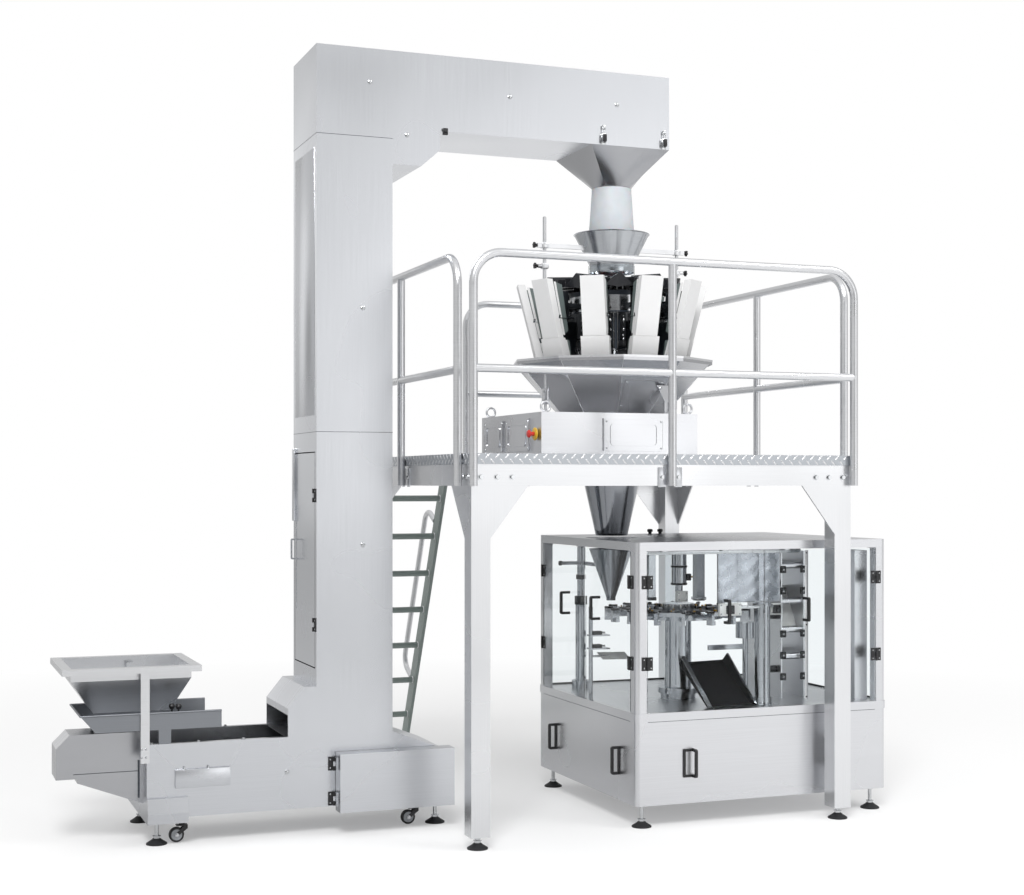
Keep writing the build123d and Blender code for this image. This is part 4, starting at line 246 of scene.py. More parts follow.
# Every finish: the record's slot, the maker, the material's name, the colour, and the maker's settings.
# A colour is an sRGB value that the panel can change, or linear numbers.
STEEL = "brushed_stainless"
FINISHES = {
    "sheet_upright": (STEEL, brushed, "Stainless sheet brushed upright", "d2d4d8", 2, 0.25),
    "sheet_along": (STEEL, brushed, "Stainless sheet brushed along the line", "d2d4d8", 0, 0.27),
    "leg_sheet": (STEEL, brushed, "Stainless frame brushed upright", "e2e3e5", 2, 0.28),
    "beam_sheet": (STEEL, brushed, "Stainless frame brushed along the line", "e2e3e5", 0, 0.28),
    "cabinet_sheet": (STEEL, brushed, "Stainless cabinet brushed along the line", "d8d9dc", 0, 0.27),
    "chute_sheet": (STEEL, brushed, "Stainless sheet of the weigher's base and chute", "b6b7ba", 0, 0.23),
    # The tray's higher roughness is its real dull finish; its darker colour is painted shade.
    "tray_sheet": (STEEL, brushed, "Stainless sheet of the tray, dulled", "8f9297", 0, 0.42),
    # Painted shade: stainless darkened nearly to black for the shade inside the weigher and in the gaps of
    # seams.
    "painted_shade_sheet": (STEEL, brushed, "Stainless sheet of the weigher's inside", "54585d", 2, 0.3),
    "polished": ("bright_steel", turned, "Stainless steel turned and polished", "c6c8ca", 0.16),
    "mirror": ("bright_steel", turned, "Stainless steel spun and buffed", "b8bbbf", 0.15),
    # Painted shade: the funnels' colour is darkened for their places under the deck and inside the bagging
    # machine.
    "funnel": ("bright_steel", turned, "Stainless funnel, spun and buffed", "8e9196", 0.13),
    "tube": ("railing_tube", turned, "Stainless tube with a satin finish", "dfe0e2", 0.3),
    "brass": ("bright_steel", turned, "Brass, turned", "c9a04f", 0.25),
    "tread": ("checker_plate", rolled_plate, "Aluminium tread plate, rolled", "bcc0c5"),
    "film": ("bright_steel", metallised_film, "Metallised film, laminated", "c4c8cf"),
    "ladder": ("ladder_paint", enamel, "Enamelled steel of the ladder", "8b9692", 0.42),
    "grey_sheet": ("ladder_paint", enamel, "Grey green enamel of the head side plates", "66706f", 0.4),
    "cover": ("white_cover", enamel, "White enamel of the weigher covers", "e6e6e6", 0.38),
    "slide": ("bag_chute_steel", enamel, "Black lacquer of the bag slide", "17181a", 0.16, 220.0,
              0.00015, 0.1),
    "jacket": ("black_plastic", enamel, "Blue grey enamel of the weigher's core", "3a424c", 0.3),
    "pan_steel": ("black_plastic", enamel, "Dark stove coating of the feeder pans", "202125", 0.26),
    "casting": ("black_plastic", enamel, "Cast aluminium, powder coated dark", "2c2e31", 0.45, 320.0,
                0.0003),
    "nylon": ("black_plastic", moulded, "Glass-filled nylon, moulded black", "1b1b1d", 0.4),
    "hub": ("black_plastic", moulded, "Nylon of the wheel hubs, moulded grey", "8f9296", 0.45),
    "red": ("black_plastic", moulded, "ABS, moulded red", "c8362f", 0.3),
    "yellow": ("black_plastic", moulded, "ABS, moulded yellow", "d9b13a", 0.4),
    "rubber": ("black_rubber", moulded, "Rubber, moulded black", "1d1e20", 0.62),
    "white_block": ("white_cover", moulded, "Acetal block, milled white", "e6e6e4", 0.35),
    "silicone": ("white_sleeve", silicone, "Silicone sleeve, cast milky", "c6cacf"),
    "acrylic": ("clear_acrylic", clear_sheet, "Clear acrylic sheet, cast", (0.95, 0.972, 0.98)),
}
MADE = {}

# CAD nodes by finish
NODE_FINISHES = {
    "sheet_upright": ("elevator_column", "column_hood", "column_door", "elevator_head"),
    "sheet_along": ("elevator_base", "drive_cover"),
    "leg_sheet": ("platform_legs",),
    "beam_sheet": ("long_beams", "cross_beams", "infeed_hopper"),
    "cabinet_sheet": ("packer_cabinet", "packer_roof", "corner_posts", "bag_magazine", "weigher_base"),
    "chute_sheet": ("infeed_trough", "collecting_chute", "discharge_chute"),
    # The tray's darker colour is painted shade.
    "tray_sheet": ("vibrating_tray",),
    # The hoppers' near-black sheet is painted shade inside the weigher.
    "painted_shade_sheet": ("weigher_hoppers",),
    "pan_steel": ("feeder_pans",),
    "polished": ("foot_spindles", "bucket_chain", "caster_plates", "weigher_core"),
    "mirror": ("infeed_cone", "turntable", "machine_posts"),
    # The funnels' darker colour is painted shade.
    "funnel": ("discharge_funnel", "filling_funnel"),
    "tube": ("railing_posts", "top_rails", "mid_rails", "ladder_handrails", "cone_stand"),
    "tread": ("deck_plate",),
    "ladder": ("ladder_stringers", "ladder_rungs"),
    "cover": ("head_covers",),
    "silicone": ("chute_sleeve",),
    "slide": ("bag_chute",),
    "nylon": ("fixed_hardware", *[f"door_fittings_{leaf}" for leaf in LEAVES],
              *[f"caster_fork_{i}" for i in CASTERS]),
    "rubber": ("foot_pads", *[f"caster_wheel_{i}" for i in CASTERS]),
    "acrylic": ("fixed_glazing", *[f"door_pane_{leaf}" for leaf in LEAVES]),
}


class LineColours(bpy.types.PropertyGroup):
    """Colours of the line's finishes"""

    floor: colour("Floor", "Pale studio floor", "f6f6f6")


for key, (_, _, title, code, *_) in FINISHES.items():
    if isinstance(code, str):
        LineColours.__annotations__[key] = colour(key.replace("_", " ").capitalize(), title, code)


def colours():
    return bpy.context.scene.line_colours


def sizes():
    return bpy.context.scene.line_sizes


def finish(name):
    """Material of a finish, made when it is first asked for."""
    if name not in MADE:
        _, maker, title, tint, *settings = FINISHES[name]
        rgb = getattr(colours(), name) if isinstance(tint, str) else tint
        MADE[name], tree = new_material(title)
        surface = add(tree, "ShaderNodeBsdfPrincipled", maker(tree, rgb, *settings))
        add(tree, "ShaderNodeOutputMaterial", {"Surface": surface.outputs["BSDF"]})
    return MADE[name]


# Mesh tools


def turn_to(direction):
    """Matrix that brings +Z onto a direction."""
    return UP.rotation_difference(Vector(direction)).to_matrix().to_4x4()


def unit(axis, sign=1):
    """Unit vector along an axis, given by its number."""
    vector = Vector((0, 0, 0))
    vector[axis] = sign
    return vector


def round_edges(bm, edges, offset):
    bmesh.ops.bevel(bm, geom=list(edges), offset=offset, segments=2, profile=0.5, affect="EDGES",
                    material=-1, clamp_overlap=True)


def merge(part, bm):
    """Moves a finished part into another bmesh."""
    mesh = bpy.data.meshes.new("part")
    part.to_mesh(mesh)
    part.free()
    bm.from_mesh(mesh)
    bpy.data.meshes.remove(mesh)


def add_box(bm, low, high, bevel=0.0, place=HERE):
    low, high = Vector(low), Vector(high)
    matrix = place @ Matrix.Translation((low + high) / 2) @ Matrix.Diagonal((*(high - low), 1))
    made = bmesh.ops.create_cube(bm, size=1, matrix=matrix)
    if bevel:
        round_edges(bm, {e for v in made["verts"] for e in v.link_edges}, bevel)


def add_boxes(bm, rows, bevel=0.0, place=HERE):
    """Several boxes; each row gives the low corner and the high corner."""
    for row in rows:
        add_box(bm, row[:3], row[3:], bevel, place)


def add_rod(bm, start, end, radius, tip=None, sides=20, bevel=0.0, place=HERE):
    start, end = Vector(start), Vector(end)
    matrix = place @ Matrix.Translation((start + end) / 2) @ turn_to(end - start)
    made = bmesh.ops.create_cone(bm, cap_ends=True, cap_tris=False, segments=sides, radius1=radius,
                                 radius2=radius if tip is None else tip, depth=(end - start).length,
                                 matrix=matrix)
    if bevel:
        round_edges(bm, {e for v in made["verts"] for f in v.link_faces if len(f.verts) == sides
                         for e in f.edges}, bevel)


def add_turned(bm, profile, place=HERE, sides=32):
    """Spins an outline of (radius, height) points round the local Z axis."""
    part = bmesh.new()
    verts = [part.verts.new((r, 0, z)) for r, z in profile]
    edges = [part.edges.new((a, b)) for a, b in zip(verts, verts[1:])]
    bmesh.ops.spin(part, geom=verts + edges, cent=(0, 0, 0), axis=UP, angle=2 * math.pi,
                   steps=sides, use_merge=True, use_duplicate=False)
    bmesh.ops.remove_doubles(part, verts=part.verts, dist=1e-6)
    bmesh.ops.transform(part, matrix=place, verts=part.verts)
    merge(part, bm)


def add_ring(bm, outline, place=HERE, sides=32):
    """Spins an outline that closes on itself."""
    add_turned(bm, [*outline, outline[0]], place, sides)


def add_sleeve(bm, inner, outer, low, high, place, sides):
    add_ring(bm, [(inner, low), (outer, low), (outer, high), (inner, high)], place, sides)


def add_wire_ring(bm, radius, wire, place, sides):
    """Ring bent from wire with four sides."""
    turns = [math.pi / 2 * i for i in range(5)]
    add_turned(bm, [(radius + wire * math.cos(a), wire * math.sin(a)) for a in turns], place, sides)


def add_plate(bm, corners, thickness, place=HERE):
    """Flat plate through its corners, thickened along a vector."""
    face = bm.faces.new([bm.verts.new(place @ Vector(corner)) for corner in corners])
    made = bmesh.ops.extrude_face_region(bm, geom=[face], use_keep_orig=True)
    moved = [v for v in made["geom"] if isinstance(v, bmesh.types.BMVert)]
    bmesh.ops.translate(bm, verts=moved, vec=place.to_3x3() @ Vector(thickness))


def add_side_plates(bm, outlines, thickness, place):
    """Pairs of upright plates at both sides of a head; each outline comes with its half width."""
    for outline, half in outlines:
        for side in (-1, 1):
            add_plate(bm, [(r, side * half, z) for r, z in outline], (0, side * thickness, 0), place)


def add_rim(bm, width, height, border, depth, corner, place):
    """Flat frame with rounded corners in the local XY plane, raised along Z."""
    loops = []
    for inset, rise in ((0, 0), (0, depth), (border, depth), (border, 0)):
        loop = []
        for sx, sy, start in ((1, 1, 0), (-1, 1, 90), (-1, -1, 180), (1, -1, 270)):
            for step in range(5):
                a = math.radians(start + 22.5 * step)
                spot = (sx * (width / 2 - corner) + (corner - inset) * math.cos(a),
                        sy * (height / 2 - corner) + (corner - inset) * math.sin(a), rise)
                loop.append(bm.verts.new(place @ Vector(spot)))
        loops.append(loop)
    for one, two in zip(loops, loops[1:]):
        for i in range(len(one)):
            bm.faces.new((one[i - 1], one[i], two[i], two[i - 1]))


def repeat(bm, step, count):
    """Copies everything in a bmesh along a step until there are that many."""
    first = bm.verts[:] + bm.edges[:] + bm.faces[:]
    for i in range(1, count):
        made = bmesh.ops.duplicate(bm, geom=first)["geom"]
        moved = [v for v in made if isinstance(v, bmesh.types.BMVert)]
        bmesh.ops.translate(bm, verts=moved, vec=step * i)


def add_bolt(bm, spot, direction, radius, place=HERE):
    """Hexagon bolt head on its washer, standing out along a direction."""
    spot = place @ Vector(spot)
    direction = (place.to_3x3() @ Vector(direction)).normalized()
    base = spot + direction * radius * 0.22
    add_rod(bm, spot, base, radius * 1.35)
    add_rod(bm, base, base + direction * radius * 0.8, radius, tip=radius * 0.92, sides=6)


def add_button(bm, spot, direction, radius, place=HERE):
    """Low round head of a screw or sheet bolt."""
    profile = [(0, radius * 0.45), (radius * 0.55, radius * 0.4), (radius * 0.9, radius * 0.22), (radius, 0)]
    stand = Matrix.Translation(place @ Vector(spot)) @ turn_to(place.to_3x3() @ Vector(direction))
    add_turned(bm, profile, stand, sides=16)


def add_buttons(bm, xs, ys, zs, direction, radius, place=HERE):
    """Screw heads wherever the given coordinates cross."""
    for spot in product(xs, ys, zs):
        add_button(bm, spot, direction, radius, place)


def make_piece(name, bm, finish_name, body=ROOT):
    """Turns a finished bmesh into a piece that rides a body."""
    bmesh.ops.recalc_face_normals(bm, faces=bm.faces)
    mesh = bpy.data.meshes.new(name)
    bm.to_mesh(mesh)
    bm.free()
    mesh.shade_smooth()
    mesh.set_sharp_from_angle(angle=SHARP)
    mesh.materials.append(finish(finish_name))
    piece = bpy.data.objects.new(name, mesh)
    bpy.context.scene.collection.objects.link(piece)
    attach(piece, body)
    return piece


class PieceOperator(bpy.types.Operator):
    """Shared settings of the operators that add pieces"""

    bl_options = {"REGISTER", "UNDO"}


class LINE_OT_node_finishes(PieceOperator):
    """Gives every CAD node the finish of the real piece"""

    bl_idname = "line.node_finishes"
    bl_label = "Node finishes"

    def execute(self, context):
        for finish_name, nodes in NODE_FINISHES.items():
            for node in nodes:
                slots = frame["nodes"][node].data.materials
                slots.clear()
                slots.append(finish(finish_name))
        return {"FINISHED"}


class LINE_OT_tread_bars(PieceOperator):
    """Raised bars of the tread plate, on top of the deck and on its edge"""

    bl_idname = "line.tread_bars"
    bl_label = "Tread bars"

    def execute(self, context):
        low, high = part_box("deck_plate")
        pitch = sizes().tread_pitch
        columns, rows = int((high.x - low.x) / pitch), int((high.y - low.y) / pitch)
        bm = bmesh.new()
        for i, j in ((0, 0), (1, 0), (0, 1), (1, 1)):
            for shift in (0, 1):
                spot = (low.x + pitch * (i + 0.4 + shift / 2), low.y + pitch * (j + 0.5), high.z)
                self.bar(bm, Matrix.Translation(spot), pitch, i + j + shift)
        repeat(bm, unit(0) * 2 * pitch, columns // 2)
        repeat(bm, unit(1) * 2 * pitch, rows // 2)
        make_piece("tread_bars_top", bm, "tube")
        tall = (high.z - low.z) / 2
        bm = bmesh.new()
        for axis, count in ((0, columns), (1, rows)):
            other = 1 - axis
            for end, facing in ((low, -1), (high, 1)):
                strip = bmesh.new()
                for row in (0, 1):
                    spot = Vector(low)
                    spot[axis] += pitch * (0.3 + 0.5 * row)
                    spot[other] = end[other]
                    spot.z += tall * (row + 0.5)
                    place = Matrix.Translation(spot) @ turn_to(unit(other, facing))
                    self.bar(strip, place, tall * 2.3, row)
                repeat(strip, unit(axis) * pitch, count)
                merge(strip, bm)
        make_piece("tread_bars_edge", bm, "tube")
        return {"FINISHED"}

    def bar(self, bm, place, pitch, turn):
        """One lens-shaped bar that lies at 45 degrees to the rows."""
        rise = sizes().tread_rise
        angle = math.radians(45 if turn % 2 else -45)
        shape = Matrix.Rotation(angle, 4, "Z") @ Matrix.Diagonal((pitch * 0.3, pitch * 0.085, 1, 1))
        bmesh.ops.create_cone(bm, cap_ends=True, cap_tris=False, segments=8, radius1=1, radius2=0.6,
                              depth=rise, matrix=place @ Matrix.Translation((0, 0, rise / 2)) @ shape)


class LINE_OT_elevator_fittings(PieceOperator):
    """Bolts, seams, access plates and toggle latches of the bucket elevator"""

    bl_idname = "line.elevator_fittings"
    bl_label = "Elevator fittings"

    front_bolts = ((-0.380, 3.886), (0.398, 3.874), (1.028, 3.884), (-0.179, 3.626),
                   (-0.418, 2.711), (-0.418, 1.483), (-0.818, 0.332))
    front_bolt_radius = 0.013
    rim_bolts = (-1.497, -1.265, -1.039)
    plate_left, plate_right, plate_foot, plate_head = -1.384, -1.110, 0.288, 0.381
    plate_pins = (-1.339, -1.220)
    seams = (3.602, 2.068)
    latches = (0.944, 1.311)
    catch = 0.029

    def execute(self, context):
        low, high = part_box("elevator_column")
        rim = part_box("elevator_base")[1].z
        left, right, front, back = low.x, high.x, low.y, high.y
        bm = bmesh.new()
        for y, out in ((front, -1), (back, 1)):
            for x, z in self.front_bolts:
                add_button(bm, (x, y, z), (0, out, 0), self.front_bolt_radius)
            for x in self.rim_bolts:
                add_bolt(bm, (x, y - out * 0.015, rim), UP, sizes().bolt)
        z = self.plate_head
        for x in self.plate_pins:
            add_rod(bm, (x, front - 0.009, z), (x, front - 0.009, z + 0.011), 0.005, sides=10)
        make_piece("elevator_bolts", bm, "polished")

        # The seams are dark strips of painted shade for the gaps between the column's panels.
        proud, half = 0.0006, 0.0012
        bm = bmesh.new()
        add_boxes(bm, [(left - proud, front - proud, z - half, right + proud, back + proud, z + half)
                       for z in self.seams])
        make_piece("column_seams", bm, "painted_shade_sheet")

        bm = bmesh.new()
        add_box(bm, (self.plate_left, front - 0.018, self.plate_foot),
                (self.plate_right, front + 0.001, self.plate_head), 0.003)
        make_piece("access_plate", bm, "sheet_along")
        bm = bmesh.new()
        add_box(bm, (left - 0.0015, front + 0.044, 2.155), (left + 0.001, back - 0.044, 3.535), 0.0006)
        add_box(bm, (left - 0.012, back - 0.05, 1.60), (left + 0.001, back - 0.012, 1.99), 0.003)
        make_piece("elevator_plates", bm, "sheet_upright")

        bm, grips = bmesh.new(), bmesh.new()
        for x in self.latches:
            place = Matrix.Translation((x, front, 0))
            self.latch(bm, place)
            add_box(grips, (-0.011, -0.030, 3.672), (0.011, -0.020, 3.712), 0.003, place)
        place = Matrix.Translation((self.catch, front, 0))
        add_box(grips, (-0.014, -0.016, 3.640), (0.014, 0, 3.676), 0.003, place)
        add_box(grips, (-0.008, -0.026, 3.652), (0.008, -0.014, 3.664), 0.002, place)
        make_piece("toggle_latches", bm, "polished")
        make_piece("latch_grips", grips, "nylon")
        return {"FINISHED"}

    def latch(self, bm, place):
        """Over-centre latch: plate, lever and hook that pull the chute against the head."""
        add_boxes(bm, ((-0.014, -0.003, 3.655, 0.014, 0, 3.722), (-0.012, -0.008, 3.742, 0.012, 0, 3.764)),
                  0.001, place)
        add_boxes(bm, ((-0.010, -0.022, 3.668, -0.007, -0.003, 3.716),
                       (0.007, -0.022, 3.668, 0.010, -0.003, 3.716)), 0.0008, place)
        add_rod(bm, (-0.013, -0.014, 3.706), (0.013, -0.014, 3.706), 0.004, sides=12, place=place)
        for x in (-0.006, 0.006):
            add_rod(bm, (x, -0.014, 3.706), (x, -0.010, 3.752), 0.002, sides=8, place=place)
        add_rod(bm, (-0.009, -0.010, 3.752), (0.009, -0.010, 3.752), 0.003, sides=10, place=place)


class LINE_OT_feed_fittings(PieceOperator):
    """Rolled rims, springs and knobs of the infeed hopper and its vibrating tray"""

    bl_idname = "line.feed_fittings"
    bl_label = "Feed fittings"

    rim_radius = 0.005
    springs = (-1.745, -1.560)
    spring_turns = 5
    knobs = ((-1.36, 0.03), (-1.39, 0.05))
    knob = ((0, 0.03), (0.012, 0.028), (0.016, 0.018), (0.011, 0.004), (0, 0.0))

    def execute(self, context):
        low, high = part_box("vibrating_tray")
        hopper_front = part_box("infeed_hopper")[0].y
        trough_low, trough_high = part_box("infeed_trough")
        rim = high.z
        bm = bmesh.new()
        for y in (low.y - 0.001, high.y + 0.001):
            add_rod(bm, (low.x, y, rim), (high.x, y, rim), self.rim_radius, sides=12)
        add_rod(bm, (low.x, low.y, rim), (low.x, high.y, rim), self.rim_radius, sides=12)
        make_piece("tray_rims", bm, "tray_sheet")

        bm = bmesh.new()
        levels = [0.558 + 0.0045 * turn for turn in range(self.spring_turns)]
        for spot in product(self.springs, (trough_low.y + 0.022, trough_high.y - 0.022), levels):
            add_wire_ring(bm, 0.011, 0.0018, Matrix.Translation(spot), 18)
        make_piece("tray_springs", bm, "polished")

        bm = bmesh.new()
        for x, inset in self.knobs:
            foot = Vector((x, low.y + inset, rim))
            add_rod(bm, foot - UP * 0.01, foot + UP * 0.012, 0.005, sides=12)
            add_turned(bm, self.knob, Matrix.Translation(foot + UP * 0.008), sides=18)
        make_piece("tray_knobs", bm, "nylon")

        bm = bmesh.new()
        add_buttons(bm, (-1.547, -1.527), (hopper_front,), (0.45, 0.49), FRONT, SCREW)
        make_piece("hopper_bolts", bm, "polished")

        # Dark strips of painted shade for the gaps between the trough's plates.
        near, deep = trough_low.y - 0.0008, trough_low.y + 0.002
        bm = bmesh.new()
        add_boxes(bm, ((-1.860, near, 0.3590, -1.540, deep, 0.3625),
                       (-1.546, near, 0.225, -1.536, deep, 0.415)))
        make_piece("trough_seams", bm, "painted_shade_sheet")
        return {"FINISHED"}


class LINE_OT_platform_bolts(PieceOperator):
    """Frame bolts and post clamps of the work platform"""

    bl_idname = "line.platform_bolts"
    bl_label = "Platform bolts"

    half_leg = 0.05
    corner_bolts = (0.0, 0.085, 0.165)

    def execute(self, context):
        low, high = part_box("platform_legs")
        beam_low, beam_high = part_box("long_beams")
        radius = sizes().frame_bolt
        bolts, clamps = bmesh.new(), bmesh.new()
        spot = Vector((0, 0, (beam_low.z + beam_high.z) / 2 - 0.01))
        for axis in (0, 1):
            other = 1 - axis
            for face, side in ((low[other], -1), (high[other], 1)):
                spot[other] = face
                out = unit(other, side)
                for reach in self.corner_bolts:
                    for x in (low[axis] + self.half_leg + reach, high[axis] - self.half_leg - reach):
                        spot[axis] = x
                        add_bolt(bolts, spot, out, radius)
                spot[axis] = (low[axis] + high[axis]) / 2
                self.clamp(clamps, bolts, spot, out, unit(axis), radius * 0.8)
        make_piece("platform_bolts", bolts, "polished")
        make_piece("post_clamps", clamps, "sheet_upright")
        return {"FINISHED"}

    def clamp(self, clamps, bolts, place, out, along, radius):
        """Pair of plates that hold a railing post to the beam."""
        inner, middle, outer = 0.024, 0.046, 0.068
        thick, rise = out * 0.005, UP * 0.051
        for side in (-1, 1):
            corners = (place + along * side * inner - rise, place + along * side * outer + thick + rise)
            low, high = [[pick(pair) for pair in zip(*corners)] for pick in (min, max)]
            add_box(clamps, low, high, 0.001)
            add_bolt(bolts, place + along * side * middle + thick, out, radius)


class LINE_OT_weigher_fittings(PieceOperator):
    """Hatches and stop button of the weigher's base"""

    bl_idname = "line.weigher_fittings"
    bl_label = "Weigher fittings"

    # Hatches: distance of the middle from the base's near left corner, width, and whether on the left side
    hatches = ((0.5425, 0.355, 0), (0.3465, 0.347, 1), (0.7145, 0.293, 1))
    hatch_height = 0.175
    hatch_middle = 0.1125
    screw_inset = 0.016
    stop_button = (("stop_ring", "yellow", ((0.012, 0.0), (0.034, 0.010), (0.034, 0.016), (0.028, 0.019),
                                            (0.012, 0.019))),
                   ("stop_button", "red", ((0, 0.058), (0.015, 0.056), (0.021, 0.050), (0.021, 0.044),
                                           (0.012, 0.040), (0.010, 0.012), (0, 0.012))))

    def execute(self, context):
        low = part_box("weigher_base")[0]
        tall = self.hatch_height
        bm, screws = bmesh.new(), bmesh.new()
        for reach, width, on_left in self.hatches:
            spot = low + unit(on_left, reach) + UP * self.hatch_middle
            turn = Matrix.Rotation(math.radians(-90 * on_left), 4, "Z") @ UPRIGHT
            place = Matrix.Translation(spot) @ turn
            add_rim(bm, width - 0.004, tall - 0.004, 0.005, 0.0015, 0.014, place)
            add_rim(bm, width - 0.076, tall - 0.054, 0.006, 0.004, 0.022, place)
            u, v = width / 2 - self.screw_inset, tall / 2 - self.screw_inset
            add_buttons(screws, (-u, u), (-v, v), (0,), UP, SCREW, place)
        make_piece("hatch_panels", bm, "cabinet_sheet")
        make_piece("hatch_screws", screws, "polished")

        place = Matrix.Translation((low.x + 0.01, 0.44, 2.064)) @ turn_to((-1, 0, 0))
        for name, finish_name, outline in self.stop_button:
            bm = bmesh.new()
            add_turned(bm, outline, place)
            make_piece(name, bm, finish_name)
        return {"FINISHED"}


class LINE_OT_spun_cones(PieceOperator):
    """Spun steel cones of the line: smooth walls, straight necks and rolled rims"""

    bl_idname = "line.spun_cones"
    bl_label = "Spun cones"

    outlines = (
        ("infeed_cone", "mirror", (
            (0.125, 2.992), (0.125, 3.040), (0.208, 3.207), (0.209, 3.210), (0.213, 3.210), (0.215, 3.208),
            (0.215, 3.205), (0.213, 3.204), (0.2097, 3.204), (0.128, 3.040), (0.128, 2.992))),
        ("discharge_funnel", "funnel", (
            (0.153, 1.790), (0.183, 1.944), (0.183, 1.950), (0.221, 1.950), (0.223, 1.951), (0.223, 1.953),
            (0.221, 1.954), (0.179, 1.954), (0.179, 1.944), (0.150, 1.790), (0.087, 1.508), (0.090, 1.508))),
        ("filling_funnel", "funnel", (
            (0.026, 1.140), (0.026, 1.156), (0.123, 1.428), (0.125, 1.431), (0.124, 1.432), (0.122, 1.432),
            (0.023, 1.156), (0.023, 1.140))),
    )

    def execute(self, context):
        for node, finish_name, outline in self.outlines:
            bm = bmesh.new()
            add_ring(bm, outline, WEIGHER_AXIS, 96)
            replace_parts(make_piece(f"{node}_spun", bm, finish_name), node)
        return {"FINISHED"}


class LINE_OT_weigher_heads(PieceOperator):
    """Side plates, gates, rods and springs of the ten weighing heads, and the core between them"""

    bl_idname = "line.weigher_heads"
    bl_label = "Weigher heads"

    # Outlines of the pressed plates at a head's sides, then of the covers' white edges
    side_plates = ((((0.425, 2.890), (0.478, 2.902), (0.4105, 2.616), (0.378, 2.640)), 0.0605),
                   (((0.380, 2.588), (0.405, 2.588), (0.380, 2.502), (0.366, 2.508)), 0.071))
    flanges = ((((0.470, 2.902), (0.484, 2.902), (0.4165, 2.616), (0.4025, 2.616)), 0.0625),
               (((0.398, 2.588), (0.411, 2.588), (0.386, 2.502), (0.373, 2.502)), 0.073))

    def execute(self, context):
        plates, castings, rods, caps, gates, edges, ridges = (bmesh.new() for _ in range(7))
        for i in range(HEADS):
            place = WEIGHER_AXIS @ Matrix.Rotation(HEAD_STEP * i - math.pi / 2, 4, "Z")
            add_side_plates(plates, self.side_plates, 0.002, place)
            add_side_plates(edges, self.flanges, 0.0015, place)
            self.drive(castings, rods, caps, place)
            self.hopper_gates(gates, rods, place)
            gap = place @ Matrix.Rotation(HEAD_STEP / 2, 4, "Z")
            self.gap_details(rods, caps, gap)
            self.divider(ridges, gap)
        make_piece("head_side_plates", plates, "grey_sheet")
        make_piece("cover_flanges", edges, "cover")
        make_piece("head_drives", castings, "casting")
        make_piece("head_rods", rods, "polished")
        make_piece("head_caps", caps, "nylon")
        # The gates' near-black sheet is painted shade under the hoppers.
        make_piece("hopper_gates", gates, "painted_shade_sheet")
        bands = bmesh.new()
        for inner, outer, low, high in ((0.1903, 0.1935, 2.549, 2.749), (0.2353, 0.238, 2.846, 2.871),
                                        (0.2353, 0.237, 2.751, 2.758)):
            add_sleeve(bands, inner, outer, low, high, WEIGHER_AXIS, 64)
        make_piece("core_jacket", bands, "jacket")
        make_piece("pan_dividers", ridges, "pan_steel")
        return {"FINISHED"}

    def drive(self, castings, rods, caps, place):
        """Motor casting of a head, with the push rods that open its gates."""
        add_box(castings, (0.195, -0.044, 2.600), (0.286, 0.044, 2.742), 0.008, place)
        add_boxes(castings, ((0.286, -0.032, 2.622, 0.299, 0.032, 2.728),
                             (0.195, -0.052, 2.560, 0.262, 0.052, 2.592)), 0.004, place)
        for z, reach in ((2.717, 0.368), (2.640, 0.312)):
            for y in (-0.022, 0.022):
                add_rod(rods, (0.299, y, z), (reach, y, z), 0.0045, sides=10, place=place)
                add_rod(caps, (reach - 0.009, y - 0.009, z), (reach - 0.009, y + 0.009, z), 0.009,
                        sides=14, bevel=0.002, place=place)
        for side in (-1, 1):
            for z in (2.618, 2.724):
                add_button(rods, (0.245, side * 0.044, z), (0, side, 0), SCREW, place)

    def hopper_gates(self, gates, rods, place):
        """Two flaps under each hopper, on hinge pins with pull springs between the levers."""
        for low, inner, outer, half in ((2.710, 0.369, 0.441, 0.0555), (2.498, 0.326, 0.389, 0.056)):
            middle = (inner + outer) / 2
            for a, b in ((inner, middle - 0.001), (middle + 0.001, outer)):
                add_box(gates, (a, -half, low - 0.003), (b, half, low), 0.001, place)
            for r in (inner, outer):
                add_rod(rods, (r, -half - 0.011, low + 0.006), (r, half + 0.011, low + 0.006), 0.0035,
                        sides=10, place=place)
                lever = ((r - 0.006, low + 0.014), (r + 0.006, low + 0.014), (r + 0.008, low - 0.006),
                         (r - 0.003, low - 0.006))
                add_side_plates(gates, ((lever, half + 0.008),), 0.002, place)
            for y in (-half - 0.0115, half + 0.0115):
                add_rod(rods, (inner, y, low - 0.003), (outer, y, low - 0.003), 0.002, sides=8, place=place)

    def gap_details(self, rods, caps, place):
        """Guide rods, cable glands and screws that show between two heads."""
        jacket = 0.1935
        for side in (-1, 1):
            y = side * 0.011
            add_rod(rods, (0.203, y, 2.552), (0.203, y, 2.748), 0.0048, sides=12, place=place)
            y = side * 0.045
            for z in (2.585, 2.690):
                out = (math.sqrt(jacket ** 2 - y ** 2), y, 0)
                add_button(rods, (*out[:2], z), out, 0.005, place)
            y = side * 0.034
            add_rod(caps, (0.230, y, 2.775), (0.246, y, 2.775), 0.007, sides=12, bevel=0.001, place=place)
            y = side * 0.038
            add_rod(rods, (0.262, y, 2.572), (0.262, y, 2.722), 0.003, sides=10, place=place)
            for z in (2.596, 2.648, 2.700):
                add_rod(rods, (0.258, y, z), (0.274, y, z), 0.007, sides=12, bevel=0.001, place=place)
                add_rod(caps, (0.250, y, z + 0.018), (0.268, y, z + 0.018), 0.006, sides=12, place=place)

    def divider(self, bm, place):
        """Folded divider between two feeder pans: its dark ridge stands above the covers."""
        ridge_in, ridge_out = (0.165, 0, 2.962), (0.392, 0, 2.950)
        for side in (-1, 1):
            low_in, low_out = (0.172, side * 0.020, 2.932), (0.372, side * 0.078, 2.884)
            add_plate(bm, [ridge_in, ridge_out, low_out, low_in], (0, side * 0.0012, 0.0016), place)
            add_plate(bm, [low_out, ridge_out, (0.372, 0, 2.872)], (0.0016, 0, 0), place)


